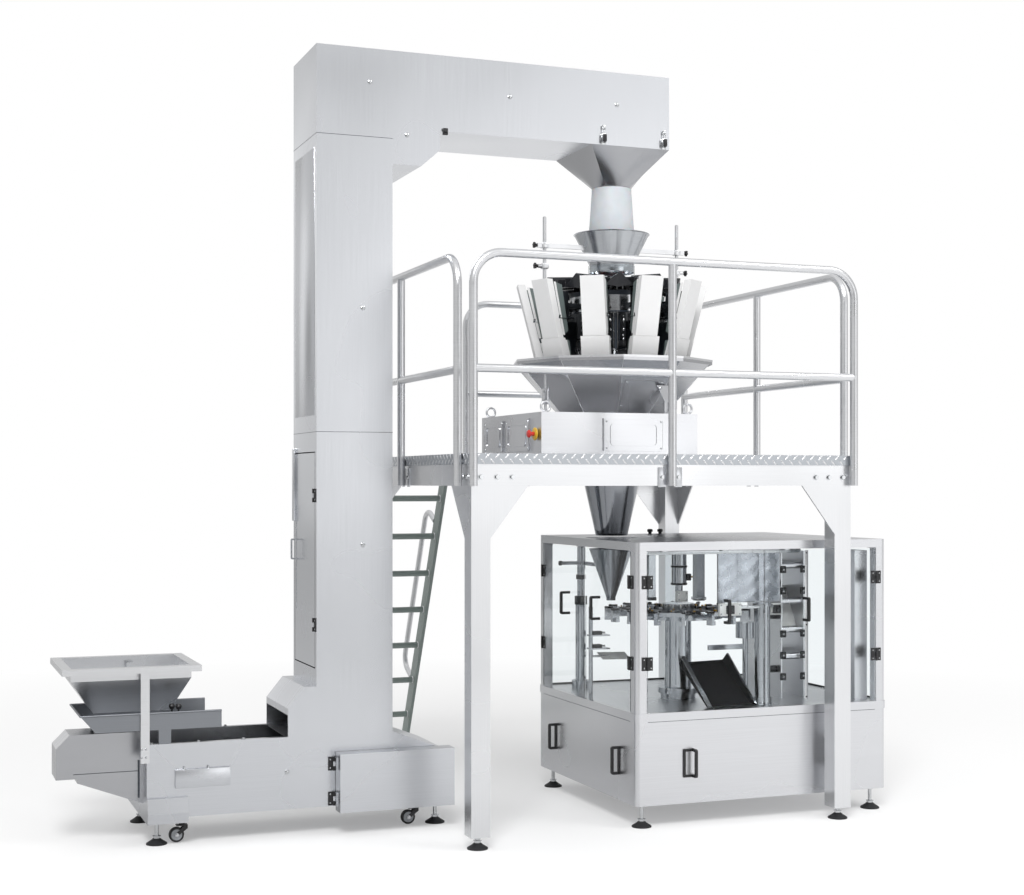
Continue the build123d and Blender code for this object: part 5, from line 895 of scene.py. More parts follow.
class LINE_OT_cone_stand_fittings(PieceOperator):
    """Clamp knobs of the rods that carry the infeed cone, and the clear ring round its neck"""

    bl_idname = "line.cone_stand_fittings"
    bl_label = "Cone stand fittings"

    reach = 0.410

    def execute(self, context):
        centre = WEIGHER_AXIS.to_translation()
        bright, knobs, ring = bmesh.new(), bmesh.new(), bmesh.new()
        block = Vector((0.018, 0.018, 0.015))
        for side in (-1, 1):
            rod = centre + unit(0, side * self.reach)
            out = unit(0, side)
            for z, root, bar_end in ((3.128, 0.0, 0.044), (3.013, -0.022, 0.040)):
                level = rod + UP * z
                add_box(bright, level - block, level + block, 0.003)
                add_rod(bright, level + out * root, level + out * bar_end, 0.011, bevel=0.001)
                end = level + out * (bar_end + 0.010)
                add_rod(knobs, level + out * bar_end, end, 0.009, sides=16)
                self.star_knob(knobs, Matrix.Translation(end) @ turn_to(out))
            top, foot = rod + UP * 3.285, rod + UP * 2.4875
            add_rod(bright, top, top + UP * 0.004, 0.0085, tip=0.006, sides=16)
            add_rod(bright, foot, foot + UP * 0.011, 0.020, sides=24, bevel=0.001)
        make_piece("stand_clamps", bright, "tube")
        make_piece("stand_knobs", knobs, "nylon")
        add_sleeve(ring, 0.1285, 0.1315, 2.986, 3.031, WEIGHER_AXIS, 64)
        make_piece("cone_neck_ring", ring, "acrylic")
        return {"FINISHED"}

    def star_knob(self, bm, place):
        """Knob with five lobes."""
        radius, lobes = 0.011, 5
        add_rod(bm, (0, 0, 0), (0, 0, 0.014), radius, sides=16, bevel=0.002, place=place)
        for i in range(lobes):
            a = 2 * math.pi * i / lobes
            spot = (radius * math.cos(a), radius * math.sin(a))
            add_rod(bm, (*spot, 0.001), (*spot, 0.013), 0.006, sides=10, bevel=0.001, place=place)


class LINE_OT_chute_fittings(PieceOperator):
    """Lip, painted fold highlights, access panels and brackets of the collecting chute"""

    bl_idname = "line.chute_fittings"
    bl_label = "Chute fittings"

    foot_radius = 0.300
    rim_radius = 0.572
    foot_z = 2.180
    rim_z = 2.487
    panels = (0, 5)
    corner_brackets = (-72, 108)
    side_brackets = (-162, 18)

    def execute(self, context):
        panels, bolts, brackets, rim, fold_highlights = (bmesh.new() for _ in range(5))
        outline = [(-0.100, 0.052, 0), (0.100, 0.052, 0), (0.115, 0.233, 0), (-0.115, 0.233, 0)]
        for i in self.panels:
            place = self.facet(i)
            add_plate(panels, outline, (0, 0, 0.004), place)
            for u, v in ((0.092, 0.062), (0.104, 0.222)):
                add_buttons(bolts, (-u, u), (v,), (0.004,), UP, SCREW, place)
        # The lip is a real rolled edge; its brighter tube finish paints the highlight along its top.
        r, z = self.rim_radius, self.rim_z
        add_ring(rim, [(r - 0.014, z + 0.0002), (r + 0.0005, z + 0.0002), (r + 0.0005, z - 0.010),
                       (r + 0.002, z - 0.010), (r + 0.002, z + 0.002), (r - 0.014, z + 0.002)],
                 WEIGHER_AXIS, HEADS)
        make_piece("chute_lip", rim, "tube")
        # Bright rods along the chute's folds: a painted highlight on the bends, not a part of the chute.
        for i in range(HEADS):
            turn = WEIGHER_AXIS @ Matrix.Rotation(HEAD_STEP * i, 4, "Z")
            add_rod(fold_highlights, (self.foot_radius, 0, self.foot_z + 0.002), (r - 0.023, 0, z - 0.026), 0.0016,
                    sides=8, place=turn)
        make_piece("chute_folds", fold_highlights, "tube")
        # The chute is folded from flat sheet, so its facets are shaded flat
        chute = frame["nodes"]["collecting_chute"].data
        if "custom_normal" in chute.attributes:
            chute.attributes.remove(chute.attributes["custom_normal"])
        chute.shade_flat()
        for angle in self.corner_brackets:
            self.corner_bracket(brackets, bolts, WEIGHER_AXIS @ Matrix.Rotation(math.radians(angle), 4, "Z"))
        for angle in self.side_brackets:
            self.side_bracket(brackets, bolts, WEIGHER_AXIS @ Matrix.Rotation(math.radians(angle), 4, "Z"))
        make_piece("chute_panels", panels, "chute_sheet")
        make_piece("chute_bolts", bolts, "polished")
        make_piece("chute_brackets", brackets, "cabinet_sheet")
        return {"FINISHED"}

    def facet(self, index):
        """Frame on the outside of a facet: Y runs up the slope and Z points out."""
        share = math.cos(math.pi / HEADS)
        run = (self.rim_radius - self.foot_radius) * share
        rise = self.rim_z - self.foot_z
        up = Vector((run, 0, rise)).normalized()
        out = Vector((rise, 0, -run)).normalized()
        turned = Matrix((up.cross(out), up, out)).transposed().to_4x4()
        foot = Matrix.Translation((self.foot_radius * share, 0, self.foot_z))
        turn = Matrix.Rotation(HEAD_STEP * index - math.pi / 2, 4, "Z")
        return WEIGHER_AXIS @ turn @ foot @ turned

    def corner_bracket(self, brackets, bolts, place):
        """Three-cornered plate on a corner of the chute, on a strut from the base."""
        r = 0.442
        outline = [(r, -0.072, 2.335), (r, 0.072, 2.335), (r, 0.012, 2.245), (r, -0.012, 2.245)]
        add_plate(brackets, outline, (0.003, 0, 0), place)
        add_box(brackets, (r - 0.010, -0.012, self.foot_z), (r, 0.012, 2.335), 0.002, place)
        for y in (-0.050, 0.050):
            add_bolt(bolts, (r + 0.003, y, 2.320), (1, 0, 0), 0.007, place)

    def side_bracket(self, brackets, bolts, place):
        """Post on the base that steadies the chute's rim, with a plate at its top."""
        r, z = 0.490, self.foot_z
        add_rod(brackets, (r, 0, z), (r, 0, 2.400), 0.008, sides=18, place=place)
        add_rod(brackets, (r, 0, z), (r, 0, z + 0.010), 0.018, sides=24, bevel=0.001, place=place)
        add_box(brackets, (r - 0.008, -0.024, 2.235), (r + 0.008, 0.024, 2.322), 0.003, place)
        for z in (2.252, 2.305):
            add_bolt(bolts, (r + 0.008, 0, z), (1, 0, 0), 0.007, place)


class LINE_OT_hinge_screws(PieceOperator):
    """Bright screws of the hinges"""

    bl_idname = "line.hinge_screws"
    bl_label = "Hinge screws"

    reach = 0.020
    rises = (UP * -0.022, UP * 0.022)
    door_hinges = (0.860, 1.285)
    # Hinges of the column door and of the drive cover: place and the way they face
    other_hinges = (((-0.670, 0.605, 1.075), (-1, 0, 0)), ((-0.670, 0.605, 1.740), (-1, 0, 0)),
                    ((-0.593, 0.586, 0.182), FRONT), ((-0.593, 0.586, 0.361), FRONT))

    def execute(self, context):
        joints = {j["child"]: j for j in frame["record"]["behaviour"]["joints"]}
        fixed = bmesh.new()
        radius = sizes().screw
        for leaf in LEAVES:
            pin = Vector(joints["door_" + leaf]["pos_m"])
            low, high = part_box("door_pane_" + leaf)
            axis = 0 if leaf.startswith("front") else 1
            along, out = unit(axis), unit(1 - axis, -1)
            along *= math.copysign(1, ((low + high) / 2 - pin).dot(along))
            face = Vector((pin.x, pin.y, 0)) - out * 0.002
            moving = bmesh.new()
            for z, rise in product(self.door_hinges, self.rises):
                level = face + UP * z + rise
                add_button(moving, level + along * self.reach, out, radius)
                add_button(fixed, level - along * self.reach, out, radius)
            make_piece("hinge_screws_" + leaf, moving, "polished", "door_" + leaf)
        for (place, out), rise in product(self.other_hinges, self.rises):
            add_button(fixed, Vector(place) + rise, out, radius)
        make_piece("hinge_screws", fixed, "polished")
        return {"FINISHED"}


class LINE_OT_feet_fittings(PieceOperator):
    """Lock nuts of the levelling feet, caster hubs and axle nuts"""

    bl_idname = "line.feet_fittings"
    bl_label = "Feet fittings"

    hub = ((0.007, 0.0), (0.007, 0.0022), (0.014, 0.0022), (0.017, 0.0012), (0.026, 0.0012), (0.0275, 0.0))

    def execute(self, context):
        bm = bmesh.new()
        for mount in frame["record"]["mounts"]:
            place = Matrix.Translation((*mount["pos_m"][:2], 0))
            add_rod(bm, (0, 0, 0.0305), (0, 0, 0.040), 0.017, sides=6, place=place)
            add_sleeve(bm, 0.0105, 0.021, 0.0400, 0.0425, place, 24)
        make_piece("foot_nuts", bm, "polished")
        for i in CASTERS:
            wheel_low, wheel_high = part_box(f"caster_wheel_{i}")
            fork_low, fork_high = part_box(f"caster_fork_{i}")
            middle = (wheel_low + wheel_high) / 2
            hub, nut = bmesh.new(), bmesh.new()
            for wheel_y, fork_y, side in ((wheel_low.y, fork_low.y, -1), (wheel_high.y, fork_high.y, 1)):
                place = Matrix.Translation((middle.x, wheel_y, middle.z)) @ turn_to((0, side, 0))
                add_ring(hub, self.hub, place)
                add_bolt(nut, (middle.x, fork_y, middle.z), (0, side, 0), 0.0075)
            make_piece(f"wheel_hub_{i}", hub, "hub", f"wheel_{i}")
            make_piece(f"axle_nuts_{i}", nut, "polished", f"caster_{i}")
        return {"FINISHED"}


class LINE_OT_ladder_fittings(PieceOperator):
    """Welds of the rungs and bolts of the ladder's side members"""

    bl_idname = "line.ladder_fittings"
    bl_label = "Ladder fittings"

    rungs = 7
    rung_radius = 0.019

    def execute(self, context):
        low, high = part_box("ladder_rungs")
        side_low, side_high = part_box("ladder_stringers")
        radius = self.rung_radius
        step = Vector((0, high.y - low.y - 2 * radius, high.z - low.z - 2 * radius)) / (self.rungs - 1)
        bead = [(radius, 0.0), (radius + 0.004, 0.0), (radius + 0.001, 0.004), (radius, 0.004)]
        bm = bmesh.new()
        for i in range(self.rungs):
            y = high.y - radius - step.y * i
            z = low.z + radius + step.z * i
            for x, out in ((low.x, 1), (high.x, -1)):
                add_ring(bm, bead, Matrix.Translation((x, y, z)) @ turn_to((out, 0, 0)), 24)
        make_piece("rung_welds", bm, "tube")
        bm = bmesh.new()
        for drop in (0.030, 0.080):
            y = side_low.y + 0.030 + drop * step.y / step.z
            for x, out in ((side_low.x, -1), (side_low.x + 0.020, 1), (side_high.x - 0.020, -1),
                           (side_high.x, 1)):
                add_bolt(bm, (x, y, side_high.z - drop), (out, 0, 0), 0.009)
        make_piece("ladder_bolts", bm, "polished")
        return {"FINISHED"}


class LINE_OT_gripper_details(PieceOperator):
    """Jaws, springs and bushes of the eight gripper stations, and the table's cover plate"""

    bl_idname = "line.gripper_details"
    bl_label = "Gripper details"

    first_angle = math.radians(146.61)
    table_top = Matrix.Translation((1.425, 0.640, 1.080))
    arm_reach = 0.075
    cover_screws = 12

    def execute(self, context):
        blocks, bright, dark, brass = (bmesh.new() for _ in range(4))
        for i in range(STATIONS):
            turn = self.first_angle + 2 * math.pi * i / STATIONS
            place = self.table_top @ Matrix.Rotation(turn, 4, "Z")
            for y in (-self.arm_reach, self.arm_reach):
                self.arm(blocks, bright, dark, brass, place @ Matrix.Translation((0, y, 0)))
            for r in (0.191, 0.310):
                add_rod(dark, (r, 0, 0.012), (r + 0.012, 0, 0.012), 0.0135, bevel=0.001, place=place)
                add_rod(brass, (r + 0.006, 0, 0.024), (r + 0.006, 0, 0.034), 0.004, sides=12, place=place)
        add_ring(dark, [(0.0905, 0.0005), (0.186, 0.0005), (0.188, 0.002), (0.186, 0.006), (0.0905, 0.006)],
                 self.table_top, 72)
        for i in range(self.cover_screws):
            turn = 2 * math.pi * i / self.cover_screws
            spot = (0.165 * math.cos(turn), 0.165 * math.sin(turn), 0.006)
            add_button(bright, spot, UP, SCREW, self.table_top)
        make_piece("gripper_blocks", blocks, "nylon", "turntable")
        make_piece("gripper_screws", bright, "polished", "turntable")
        make_piece("table_cover", dark, "casting", "turntable")
        make_piece("gripper_bushes", brass, "brass", "turntable")
        return {"FINISHED"}

    def arm(self, blocks, bright, dark, brass, place):
        """Fittings on one gripper arm: jaw cap, slide block, guide rod with its spring, and bush."""
        add_box(blocks, (0.350, -0.010, 0.0205), (0.400, 0.010, 0.031), 0.002, place)
        add_box(blocks, (0.262, -0.013, 0.0085), (0.300, 0.013, 0.028), 0.003, place)
        for r, z, radius in ((0.358, 0.031, 0.0045), (0.392, 0.031, 0.0045), (0.269, 0.028, 0.0035),
                             (0.293, 0.028, 0.0035)):
            add_button(bright, (r, 0, z), UP, radius, place)
        add_rod(bright, (0.300, 0, 0.016), (0.354, 0, 0.016), 0.0035, sides=10, place=place)
        for turn in range(7):
            stand = place @ Matrix.Translation((0.304 + 0.007 * turn, 0, 0.016)) @ turn_to((1, 0, 0))
            add_wire_ring(bright, 0.0062, 0.0012, stand, 12)
        add_box(dark, (0.205, -0.008, 0.0085), (0.250, 0.008, 0.018), 0.002, place)
        add_rod(brass, (0.238, 0, 0.0185), (0.238, 0, 0.026), 0.007, sides=16, bevel=0.001, place=place)


class LINE_OT_bagger_tools(PieceOperator):
    """Tools and guides inside the bagging machine's windows"""

    bl_idname = "line.bagger_tools"
    bl_label = "Bagger tools"

    def execute(self, context):
        dark, bright, white, brass = (bmesh.new() for _ in range(4))
        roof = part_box("packer_roof")[0].z
        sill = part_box("packer_cabinet")[1].z
        self.actuator(dark, bright, white, brass)
        self.openers(dark, bright, white)
        self.guides(dark, bright, white, roof)
        self.left_post(dark, bright, roof, sill)
        self.shelf_parts(dark, bright, white)
        make_piece("tool_castings", dark, "casting")
        make_piece("tool_fittings", bright, "polished")
        make_piece("tool_blocks", white, "white_block")
        make_piece("tool_bushes", brass, "brass")
        self.film()
        self.slide_edges()
        return {"FINISHED"}

    def actuator(self, dark, bright, white, brass):
        """Bands, port and guide block of the actuator, and the feet of the tower and the guide."""
        place = Matrix.Translation((1.391, 0.560, 0))
        for z in (1.244, 1.340, 1.436):
            add_ring(dark, [(0.0423, z - 0.006), (0.046, z - 0.005), (0.046, z + 0.005), (0.0423, z + 0.006)],
                     place, 40)
        add_box(white, (-0.030, -0.042, 1.145), (0.036, -0.016, 1.205), 0.004, place)
        add_buttons(bright, (-0.020, 0.026), (-0.042,), (1.157, 1.193), FRONT, SMALL_SCREW, place)
        add_box(dark, (0.034, -0.030, 1.262), (0.062, -0.006, 1.300), 0.003, place)
        add_rod(brass, (0.062, -0.018, 1.282), (0.074, -0.018, 1.282), 0.005, sides=12, place=place)
        tower = Matrix.Translation((1.556, 0.640, 0))
        add_box(bright, (-0.032, -0.032, 1.146), (0.032, 0.032, 1.162), 0.002, tower)
        add_buttons(bright, (0,), (-0.025,), (1.20, 1.27, 1.34, 1.41), FRONT, SMALL_SCREW, tower)
        add_box(dark, (1.1705, 0.4875, 1.160), (1.2185, 0.5355, 1.178), 0.003)

    def openers(self, dark, bright, white):
        """Bag openers on arms from the cap of the polished post."""
        inset = 0.010
        add_boxes(bright, ((1.560, 0.206, 1.124, 1.706, 0.234, 1.140),
                           (1.768, 0.250, 1.124, 1.812, 0.276, 1.140)), 0.002)
        for low, high, cup in (((1.452, 0.200, 1.088), (1.586, 0.222, 1.156), 1.515),
                               ((1.800, 0.264, 1.080), (1.872, 0.286, 1.144), 1.838)):
            add_box(white, low, high, 0.003)
            front, z = low[1], (low[2] + high[2]) / 2
            add_box(dark, (cup - 0.024, front - 0.012, z - 0.023), (cup + 0.024, front, z + 0.023), 0.004)
            add_rod(dark, (cup, front - 0.020, z), (cup, front - 0.012, z), 0.013, bevel=0.002)
            add_buttons(bright, (low[0] + inset, high[0] - inset), (front,),
                        (low[2] + inset, high[2] - inset), FRONT, SMALL_SCREW)

    def guides(self, dark, bright, white, roof):
        """Rail under the roof, and the ribs, hubs and bag stack of the magazine."""
        add_box(bright, (1.000, 0.168, roof - 0.024), (1.935, 0.186, roof - 0.001), 0.003)
        for x in (1.10, 1.46, 1.84):
            add_box(bright, (x - 0.018, 0.150, roof - 0.010), (x + 0.018, 0.168, roof - 0.001), 0.001)
        left, right, front = 1.946, 2.099, 0.400
        for x, inward in ((left, 1), (right, -1)):
            ends = sorted((x - inward * 0.006, x + inward * 0.030))
            for z in (0.700, 0.820, 0.940, 1.180, 1.300):
                add_box(dark, (ends[0], front - 0.010, z), (ends[1], front + 0.004, z + 0.040), 0.004)
                add_button(bright, (x + inward * 0.012, front - 0.010, z + 0.020), FRONT, SCREW)
        y = front + 0.05
        for z, reach in ((0.760, 0.045), (1.060, 0.060), (1.240, 0.038)):
            hub, cap = (left - reach, y, z), (left - reach - 0.012, y, z)
            add_rod(dark, hub, (left, y, z), 0.020, bevel=0.004)
            add_rod(bright, cap, hub, 0.010, sides=16, bevel=0.001)
        x0, x1 = left + 0.012, right - 0.012
        add_plate(white, [(x0, front + 0.06, 0.98), (x1, front + 0.06, 0.98), (x1, front + 0.20, 1.22),
                          (x0, front + 0.20, 1.22)], (0, 0.010, -0.006))

    def left_post(self, dark, bright, roof, sill):
        """Collars, flange screws and valve of the stepped post."""
        post = Matrix.Translation((1.113, 1.280, 0))
        add_ring(dark, [(0.0325, 1.085), (0.037, 1.087), (0.037, 1.136), (0.0225, 1.138), (0.0225, 1.121),
                        (0.0325, 1.119)], post, 40)
        add_ring(dark, [(0.0225, 1.235), (0.029, 1.236), (0.029, 1.262), (0.0225, 1.263)], post)
        for i in range(4):
            turn = math.pi / 2 * i + 0.4
            spot = (0.043 * math.cos(turn), 0.043 * math.sin(turn), sill + 0.038)
            add_button(bright, spot, UP, SCREW, post)
        add_rod(bright, (-0.122, 0, 1.332), (-0.110, 0, 1.332), 0.011, bevel=0.001, place=post)
        add_rod(dark, (-0.140, 0, 1.332), (-0.122, 0, 1.332), 0.014, bevel=0.003, place=post)
        add_rod(bright, (0, 0, roof - 0.020), (0, 0, roof - 0.001), 0.032, sides=32, bevel=0.002, place=post)

    def shelf_parts(self, dark, bright, white):
        """Sensors on the shelves beside the filling station and a guide flap below them."""
        for z in (0.868, 0.943):
            add_box(dark, (1.020, 0.880, z), (1.074, 0.922, z + 0.020), 0.003)
            add_rod(bright, (1.074, 0.901, z + 0.010), (1.098, 0.901, z + 0.010), 0.005, sides=14)
        add_rod(bright, (1.010, 0.901, 0.820), (1.120, 0.901, 0.820), 0.006, sides=14)
        flap = [(1.062, 0.850, 0.805), (1.236, 0.850, 0.801), (1.240, 0.945, 0.832), (1.066, 0.945, 0.836)]
        add_plate(white, flap, (0, 0, 0.002))

    def film(self):
        """Web of silvery packing film in front of the panel, loose between its seams."""
        bm = bmesh.new()
        low, high = Vector((1.511, 0.3265, 1.152)), Vector((1.895, 0.3265, 1.446))
        size = high - low
        place = Matrix.Translation((low + high) / 2) @ UPRIGHT
        place @= Matrix.Diagonal((size.x / 2, size.z / 2, 1, 1))
        bmesh.ops.create_grid(bm, x_segments=72, y_segments=48, size=1, matrix=place)
        for v in bm.verts:
            u, w = (v.co.x - low.x) / size.x, (v.co.z - low.z) / size.z
            billow = abs(math.sin(math.pi * u * 3)) ** 0.7
            fold = math.sin(11 * u + 6 * w) * 0.5 + math.sin(23 * w - 17 * u + 2.0) * 0.3
            v.co.y -= 0.004 * billow + 0.0022 * billow * fold
        bmesh.ops.solidify(bm, geom=bm.faces[:], thickness=0.0004)
        make_piece("film_web", bm, "film")

    def slide_edges(self):
        """Bright folded edges of the bag slide."""
        bm = bmesh.new()
        half, thickness = 0.150, 0.002
        low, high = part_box("bag_chute")
        foot, head = Vector((0, -0.250, low.z)), Vector((0, 0, high.z))
        foot = foot.lerp(head, 0.02)
        square = Vector((0, -1, (head.y - foot.y) / (head.z - foot.z))).normalized() * thickness
        place = Matrix.Translation((1.490, 0.430, 0)) @ Matrix.Rotation(math.radians(10), 4, "Z")
        for side, reach in ((-1, 0.022), (1, 0.006)):
            inner, outer = unit(0, side) * (half - 0.004), unit(0, side) * (half + reach)
            add_plate(bm, [foot + inner, foot + outer, head + outer, head + inner], square, place)
        make_piece("slide_edges", bm, "polished")


class LINE_OT_cabinet_fittings(PieceOperator):
    """Shut line, seals, knobs, handle bars and door strip of the bagging machine"""

    bl_idname = "line.cabinet_fittings"
    bl_label = "Cabinet fittings"

    knob = ((0, 0.030), (0.013, 0.029), (0.017, 0.024), (0.017, 0.014), (0.010, 0.010), (0.010, 0.0),
            (0, 0.0))
    knob_places = ((1.620, 1.400), (1.688, 1.400))

    def execute(self, context):
        low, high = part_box("packer_cabinet")
        roof_low, roof_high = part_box("packer_roof")
        self.shut_line(low, high)
        self.seals(high.z, roof_low, roof_high)
        bm = bmesh.new()
        for spot in self.knob_places:
            add_turned(bm, self.knob, Matrix.Translation((*spot, roof_high.z)), sides=24)
        make_piece("roof_knobs", bm, "nylon")
        self.handle_feet(low, high)
        strip, screws = bmesh.new(), bmesh.new()
        x, front = 1.9345, roof_low.y
        add_box(strip, (x - 0.010, front - 0.0035, 0.632), (x + 0.010, front - 0.0003, 1.440), 0.001)
        make_piece("door_strip", strip, "polished", "door_front_right")
        add_buttons(screws, (x,), (front - 0.0035,), (0.646, 1.036, 1.426), FRONT, SMALL_SCREW)
        make_piece("strip_screws", screws, "nylon", "door_front_right")
        return {"FINISHED"}

    def handle_feet(self, low, high):
        """Bars that close the cabinet's pull handles against the sheet."""
        bm = bmesh.new()
        half, bar, lift, grip = 0.075, 0.007, 0.009, 0.050
        foot, head = low.z + 0.212 - half, low.z + 0.212 + half
        x, y = low.x + 0.004, low.y + 0.004
        rows = [(x - lift, spot - bar, foot, x + 0.002, spot + bar, head)
                for spot in (low.y + 0.213, high.y - 0.260)]
        for spot in (low.x + 0.334, high.x - 0.334):
            rows.append((spot - grip - bar, y - lift, foot, spot - grip + bar, y + 0.002, head))
            rows += [(spot - grip, y - lift, z, spot + bar, y + 0.002, z + 2 * bar)
                     for z in (foot, head - 2 * bar)]
        add_boxes(bm, rows, 0.003)
        make_piece("handle_feet", bm, "nylon")

    def shut_line(self, low, high):
        """Shut line under the cabinet's top rail, drawn as a thin strip of painted shade let into the sheet.
        """
        bm = bmesh.new()
        proud, edge, half = 0.004, 0.070, 0.0012
        top = high.z - 0.046
        for axis in (0, 1):
            other = 1 - axis
            corners = [Vector((0, 0, top - half)), Vector((0, 0, top + half))]
            for corner, along, depth in zip(corners, (low[axis] + proud + edge, high[axis] - proud - edge),
                                            (-0.0006, 0.002)):
                corner[axis], corner[other] = along, low[other] + proud + depth
            add_box(bm, *corners)
        make_piece("cabinet_seams", bm, "painted_shade_sheet")

    def seals(self, sill, low, high):
        """Black seals along the foot and head of the fixed panes."""
        bm = bmesh.new()
        x, y, tall, end = high.x - 0.010, high.y - 0.010, 0.008, 0.064
        for z in (sill, low.z - tall):
            add_boxes(bm, ((low.x + end, y - 0.009, z, high.x - end, y + 0.002, z + tall),
                           (x - 0.009, low.y + end, z, x + 0.002, high.y - end, z + tall)), 0.001)
        make_piece("window_seals", bm, "rubber")


class LINE_OT_studio(PieceOperator):
    """White studio: floor, even light from a pale room, lamps and the camera"""

    bl_idname = "line.studio"
    bl_label = "Studio"

    key_strength: bpy.props.FloatProperty(name="Key lamp", description="Power of the key lamp",
                                          unit="POWER", default=1250.0)

    # Sides of the room: direction, level away from it and towards it, and where the change starts and ends
    bright_sides = (((0.438, -0.899, 0.018), 0.45, 1.8, 0.9555, 0.9945),
                    ((-0.237, 0.965, 0.10), 0.66, 1.2, 0.984, 0.999),
                    ((0.0, 0.0, 1.0), 0.5, 0.85, 0.3, 0.9))
    dark_sides = (((-0.36, -0.93, 0.0), 1.0, 0.3, 0.9, 1.0),
                  ((-0.371, 0.928, 0.02), 1.0, 0.3, 0.988, 0.9995))
    line_middle = (0.2, 0.8, 0.0)
    # Middle of a dark patch that only glossy rays see on the floor: a painted reflection.
    painted_dark_reflection_spot = (1.5, -9.5, 0.0)

    def execute(self, context):
        scene = bpy.context.scene
        scene.view_settings.view_transform = "Standard"
        self.room(scene)
        self.floor(scene)
        self.lamp(scene, "Key softbox", (-4.5, -9.5, 11.0), (0.5, 0.8, 1.4), self.key_strength)
        self.lamp(scene, "Fill softbox", (7.0, -6.0, 10.0), (0.5, 0.8, 1.0), self.key_strength * 0.2)
        self.camera(scene)
        return {"FINISHED"}

    def room(self, scene):
        """Pale room with bright and dark sides, which metal shows as soft bands."""
        scene.world = bpy.data.worlds.new("Pale room")
        scene.world.use_nodes = True
        tree = scene.world.node_tree
        tree.nodes.clear()
        direction = add(tree, "ShaderNodeTexCoord").outputs["Generated"]
        levels = [self.side(tree, direction, *side) for side in self.bright_sides]
        shares = [self.side(tree, direction, *side) for side in self.dark_sides]
        room = combine(tree, "MULTIPLY", combine(tree, "MAXIMUM", *levels), *shares)
        seen = self.seen(tree, add(tree, "ShaderNodeLightPath"))
        mix = add(tree, "ShaderNodeMix", {"Factor": seen, "A": room, "B": 1.0}, data_type="FLOAT")
        background = add(tree, "ShaderNodeBackground", {"Color": (1, 1, 1, 1),
                                                        "Strength": mix.outputs["Result"]})
        add(tree, "ShaderNodeOutputWorld", {"Surface": background.outputs["Background"]})

    def seen(self, tree, rays):
        """One for camera rays and for those that only passed through a pane, and zero for the rest."""
        bounces = combine(tree, "ADD", rays.outputs["Diffuse Depth"], rays.outputs["Glossy Depth"])
        straight = combine(tree, "LESS_THAN", bounces, 0.5)
        passed = combine(tree, "MULTIPLY", straight, rays.outputs["Is Transmission Ray"])
        return combine(tree, "MAXIMUM", rays.outputs["Is Camera Ray"], passed)

    def side(self, tree, direction, towards, low, high, start, end):
        """Level that rises from one side of the room to the other."""
        facing = add(tree, "ShaderNodeVectorMath", {0: direction, 1: Vector(towards).normalized()},
                     operation="DOT_PRODUCT").outputs["Value"]
        return add(tree, "ShaderNodeMapRange", {"Value": facing, "From Min": start, "From Max": end,
                                                "To Min": low, "To Max": high},
                   interpolation_type="SMOOTHSTEP").outputs["Result"]

    def floor(self, scene):
        """Floor that keeps the shadow near the line and runs out into white. For glossy rays, which metal
        shows, it carries a painted reflection: darker at the left and in front, and glowing at the right."""
        material, tree = new_material("Studio floor")
        place = add(tree, "ShaderNodeTexCoord").outputs["Object"]
        rays = add(tree, "ShaderNodeLightPath")
        glossy = rays.outputs["Is Glossy Ray"]
        away, dark_spot_distance = [add(tree, "ShaderNodeVectorMath", {0: place, 1: spot},
                          operation="DISTANCE").outputs["Value"]
                      for spot in (self.line_middle, self.painted_dark_reflection_spot)]
        across = add(tree, "ShaderNodeVectorMath", {0: place, 1: unit(0)},
                     operation="DOT_PRODUCT").outputs["Value"]
        # Painted reflection: glossy rays see the floor darker near that patch and at the left.
        reflection_dimming = spread(tree, dark_spot_distance, 0.5, 1.0, 2.5, 5.5)
        level = combine(tree, "MULTIPLY", spread(tree, across, 0.62, 0.98, -2.0, 5.5), reflection_dimming)
        painted_reflection_colour = add(tree, "ShaderNodeCombineColor", {0: level, 1: level, 2: level}).outputs[0]
        painted = add(tree, "ShaderNodeBsdfDiffuse",
                      {"Color": two_tone(tree, glossy, opaque(colours().floor), painted_reflection_colour)})
        white = add(tree, "ShaderNodeEmission", {"Strength": 1.0})
        glow = combine(tree, "MULTIPLY", spread(tree, away, 0.25, 1.0, 3.5, 8.0), self.seen(tree, rays))
        # Painted reflection glow: for glossy rays the floor emits light towards the right.
        painted_reflection_glow = combine(tree, "MULTIPLY", spread(tree, across, 0.0, 0.85, 0.5, 6.0), reflection_dimming, glossy)
        mixed = add(tree, "ShaderNodeMixShader", {0: combine(tree, "MAXIMUM", glow, painted_reflection_glow),
                                                  1: painted.outputs["BSDF"], 2: white.outputs["Emission"]})
        add(tree, "ShaderNodeOutputMaterial", {"Surface": mixed.outputs["Shader"]})
        bm = bmesh.new()
        bmesh.ops.create_circle(bm, cap_ends=True, segments=64, radius=sizes().floor)
        mesh = bpy.data.meshes.new("studio_floor")
        bm.to_mesh(mesh)
        bm.free()
        mesh.materials.append(material)
        floor = bpy.data.objects.new("studio_floor", mesh)
        scene.collection.objects.link(floor)

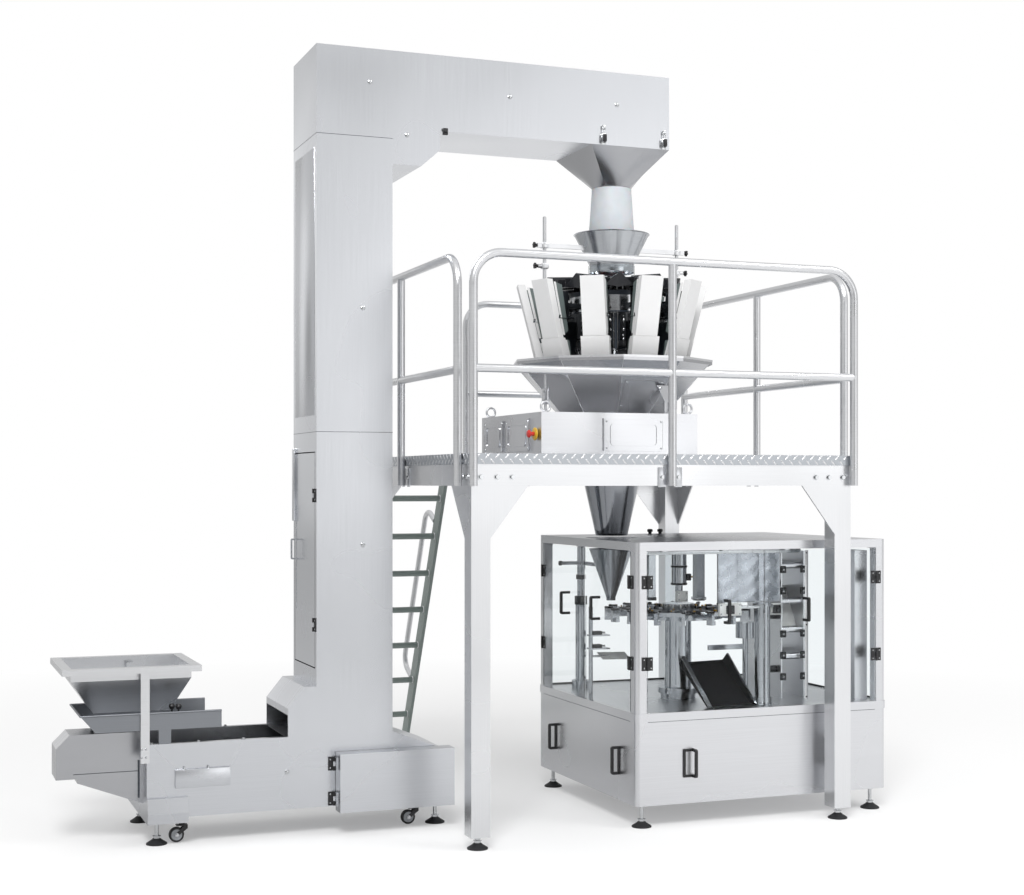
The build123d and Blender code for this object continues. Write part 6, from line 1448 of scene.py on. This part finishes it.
    def lamp(self, scene, name, place, target, power):
        """Round softbox 5 m across that looks at a target."""
        data = bpy.data.lights.new(name, "AREA")
        data.shape, data.size, data.energy = "DISK", 5.0, power
        lamp = bpy.data.objects.new(name, data)
        aim = Vector(target) - Vector(place)
        lamp.matrix_world = Matrix.Translation(place) @ aim.to_track_quat("-Z", "Y").to_matrix().to_4x4()
        scene.collection.objects.link(lamp)

    def camera(self, scene):
        data = bpy.data.cameras.new("Camera")
        data.sensor_width = 36.0
        data.lens = CAMERA_LENS
        data.shift_y = CAMERA_SHIFT
        data.clip_end = 200.0
        camera = bpy.data.objects.new("Camera", data)
        camera.location = CAMERA_PLACE
        camera.rotation_euler = (math.radians(90), 0, CAMERA_TURN)
        scene.collection.objects.link(camera)
        scene.camera = camera


class LINE_PT_panel(bpy.types.Panel):
    """Lists the line's pieces, colours and sizes"""

    bl_label = "Packaging line"
    bl_idname = "LINE_PT_panel"
    bl_space_type = "VIEW_3D"
    bl_region_type = "UI"
    bl_category = "Packaging line"

    def draw(self, context):
        for operator in OPERATORS:
            self.layout.operator(operator.bl_idname)
        for group in (context.scene.line_colours, context.scene.line_sizes):
            box = self.layout.box()
            for name in group.__annotations__:
                box.prop(group, name)


OPERATORS = (
    LINE_OT_studio,
    LINE_OT_node_finishes,
    LINE_OT_tread_bars,
    LINE_OT_elevator_fittings,
    LINE_OT_feed_fittings,
    LINE_OT_platform_bolts,
    LINE_OT_weigher_fittings,
    LINE_OT_spun_cones,
    LINE_OT_weigher_heads,
    LINE_OT_cone_stand_fittings,
    LINE_OT_chute_fittings,
    LINE_OT_hinge_screws,
    LINE_OT_feet_fittings,
    LINE_OT_ladder_fittings,
    LINE_OT_gripper_details,
    LINE_OT_bagger_tools,
    LINE_OT_cabinet_fittings,
)
CLASSES = (LineColours, LineSizes, *OPERATORS, LINE_PT_panel)


def register():
    for kind in CLASSES:
        bpy.utils.register_class(kind)
    bpy.types.Scene.line_colours = bpy.props.PointerProperty(type=LineColours)
    bpy.types.Scene.line_sizes = bpy.props.PointerProperty(type=LineSizes)


def unregister():
    del bpy.types.Scene.line_sizes
    del bpy.types.Scene.line_colours
    for kind in reversed(CLASSES):
        bpy.utils.unregister_class(kind)


def main():
    register()
    for operator in OPERATORS:
        group, name = operator.bl_idname.split(".")
        getattr(getattr(bpy.ops, group), name)()


if __name__ == "__main__":
    main()
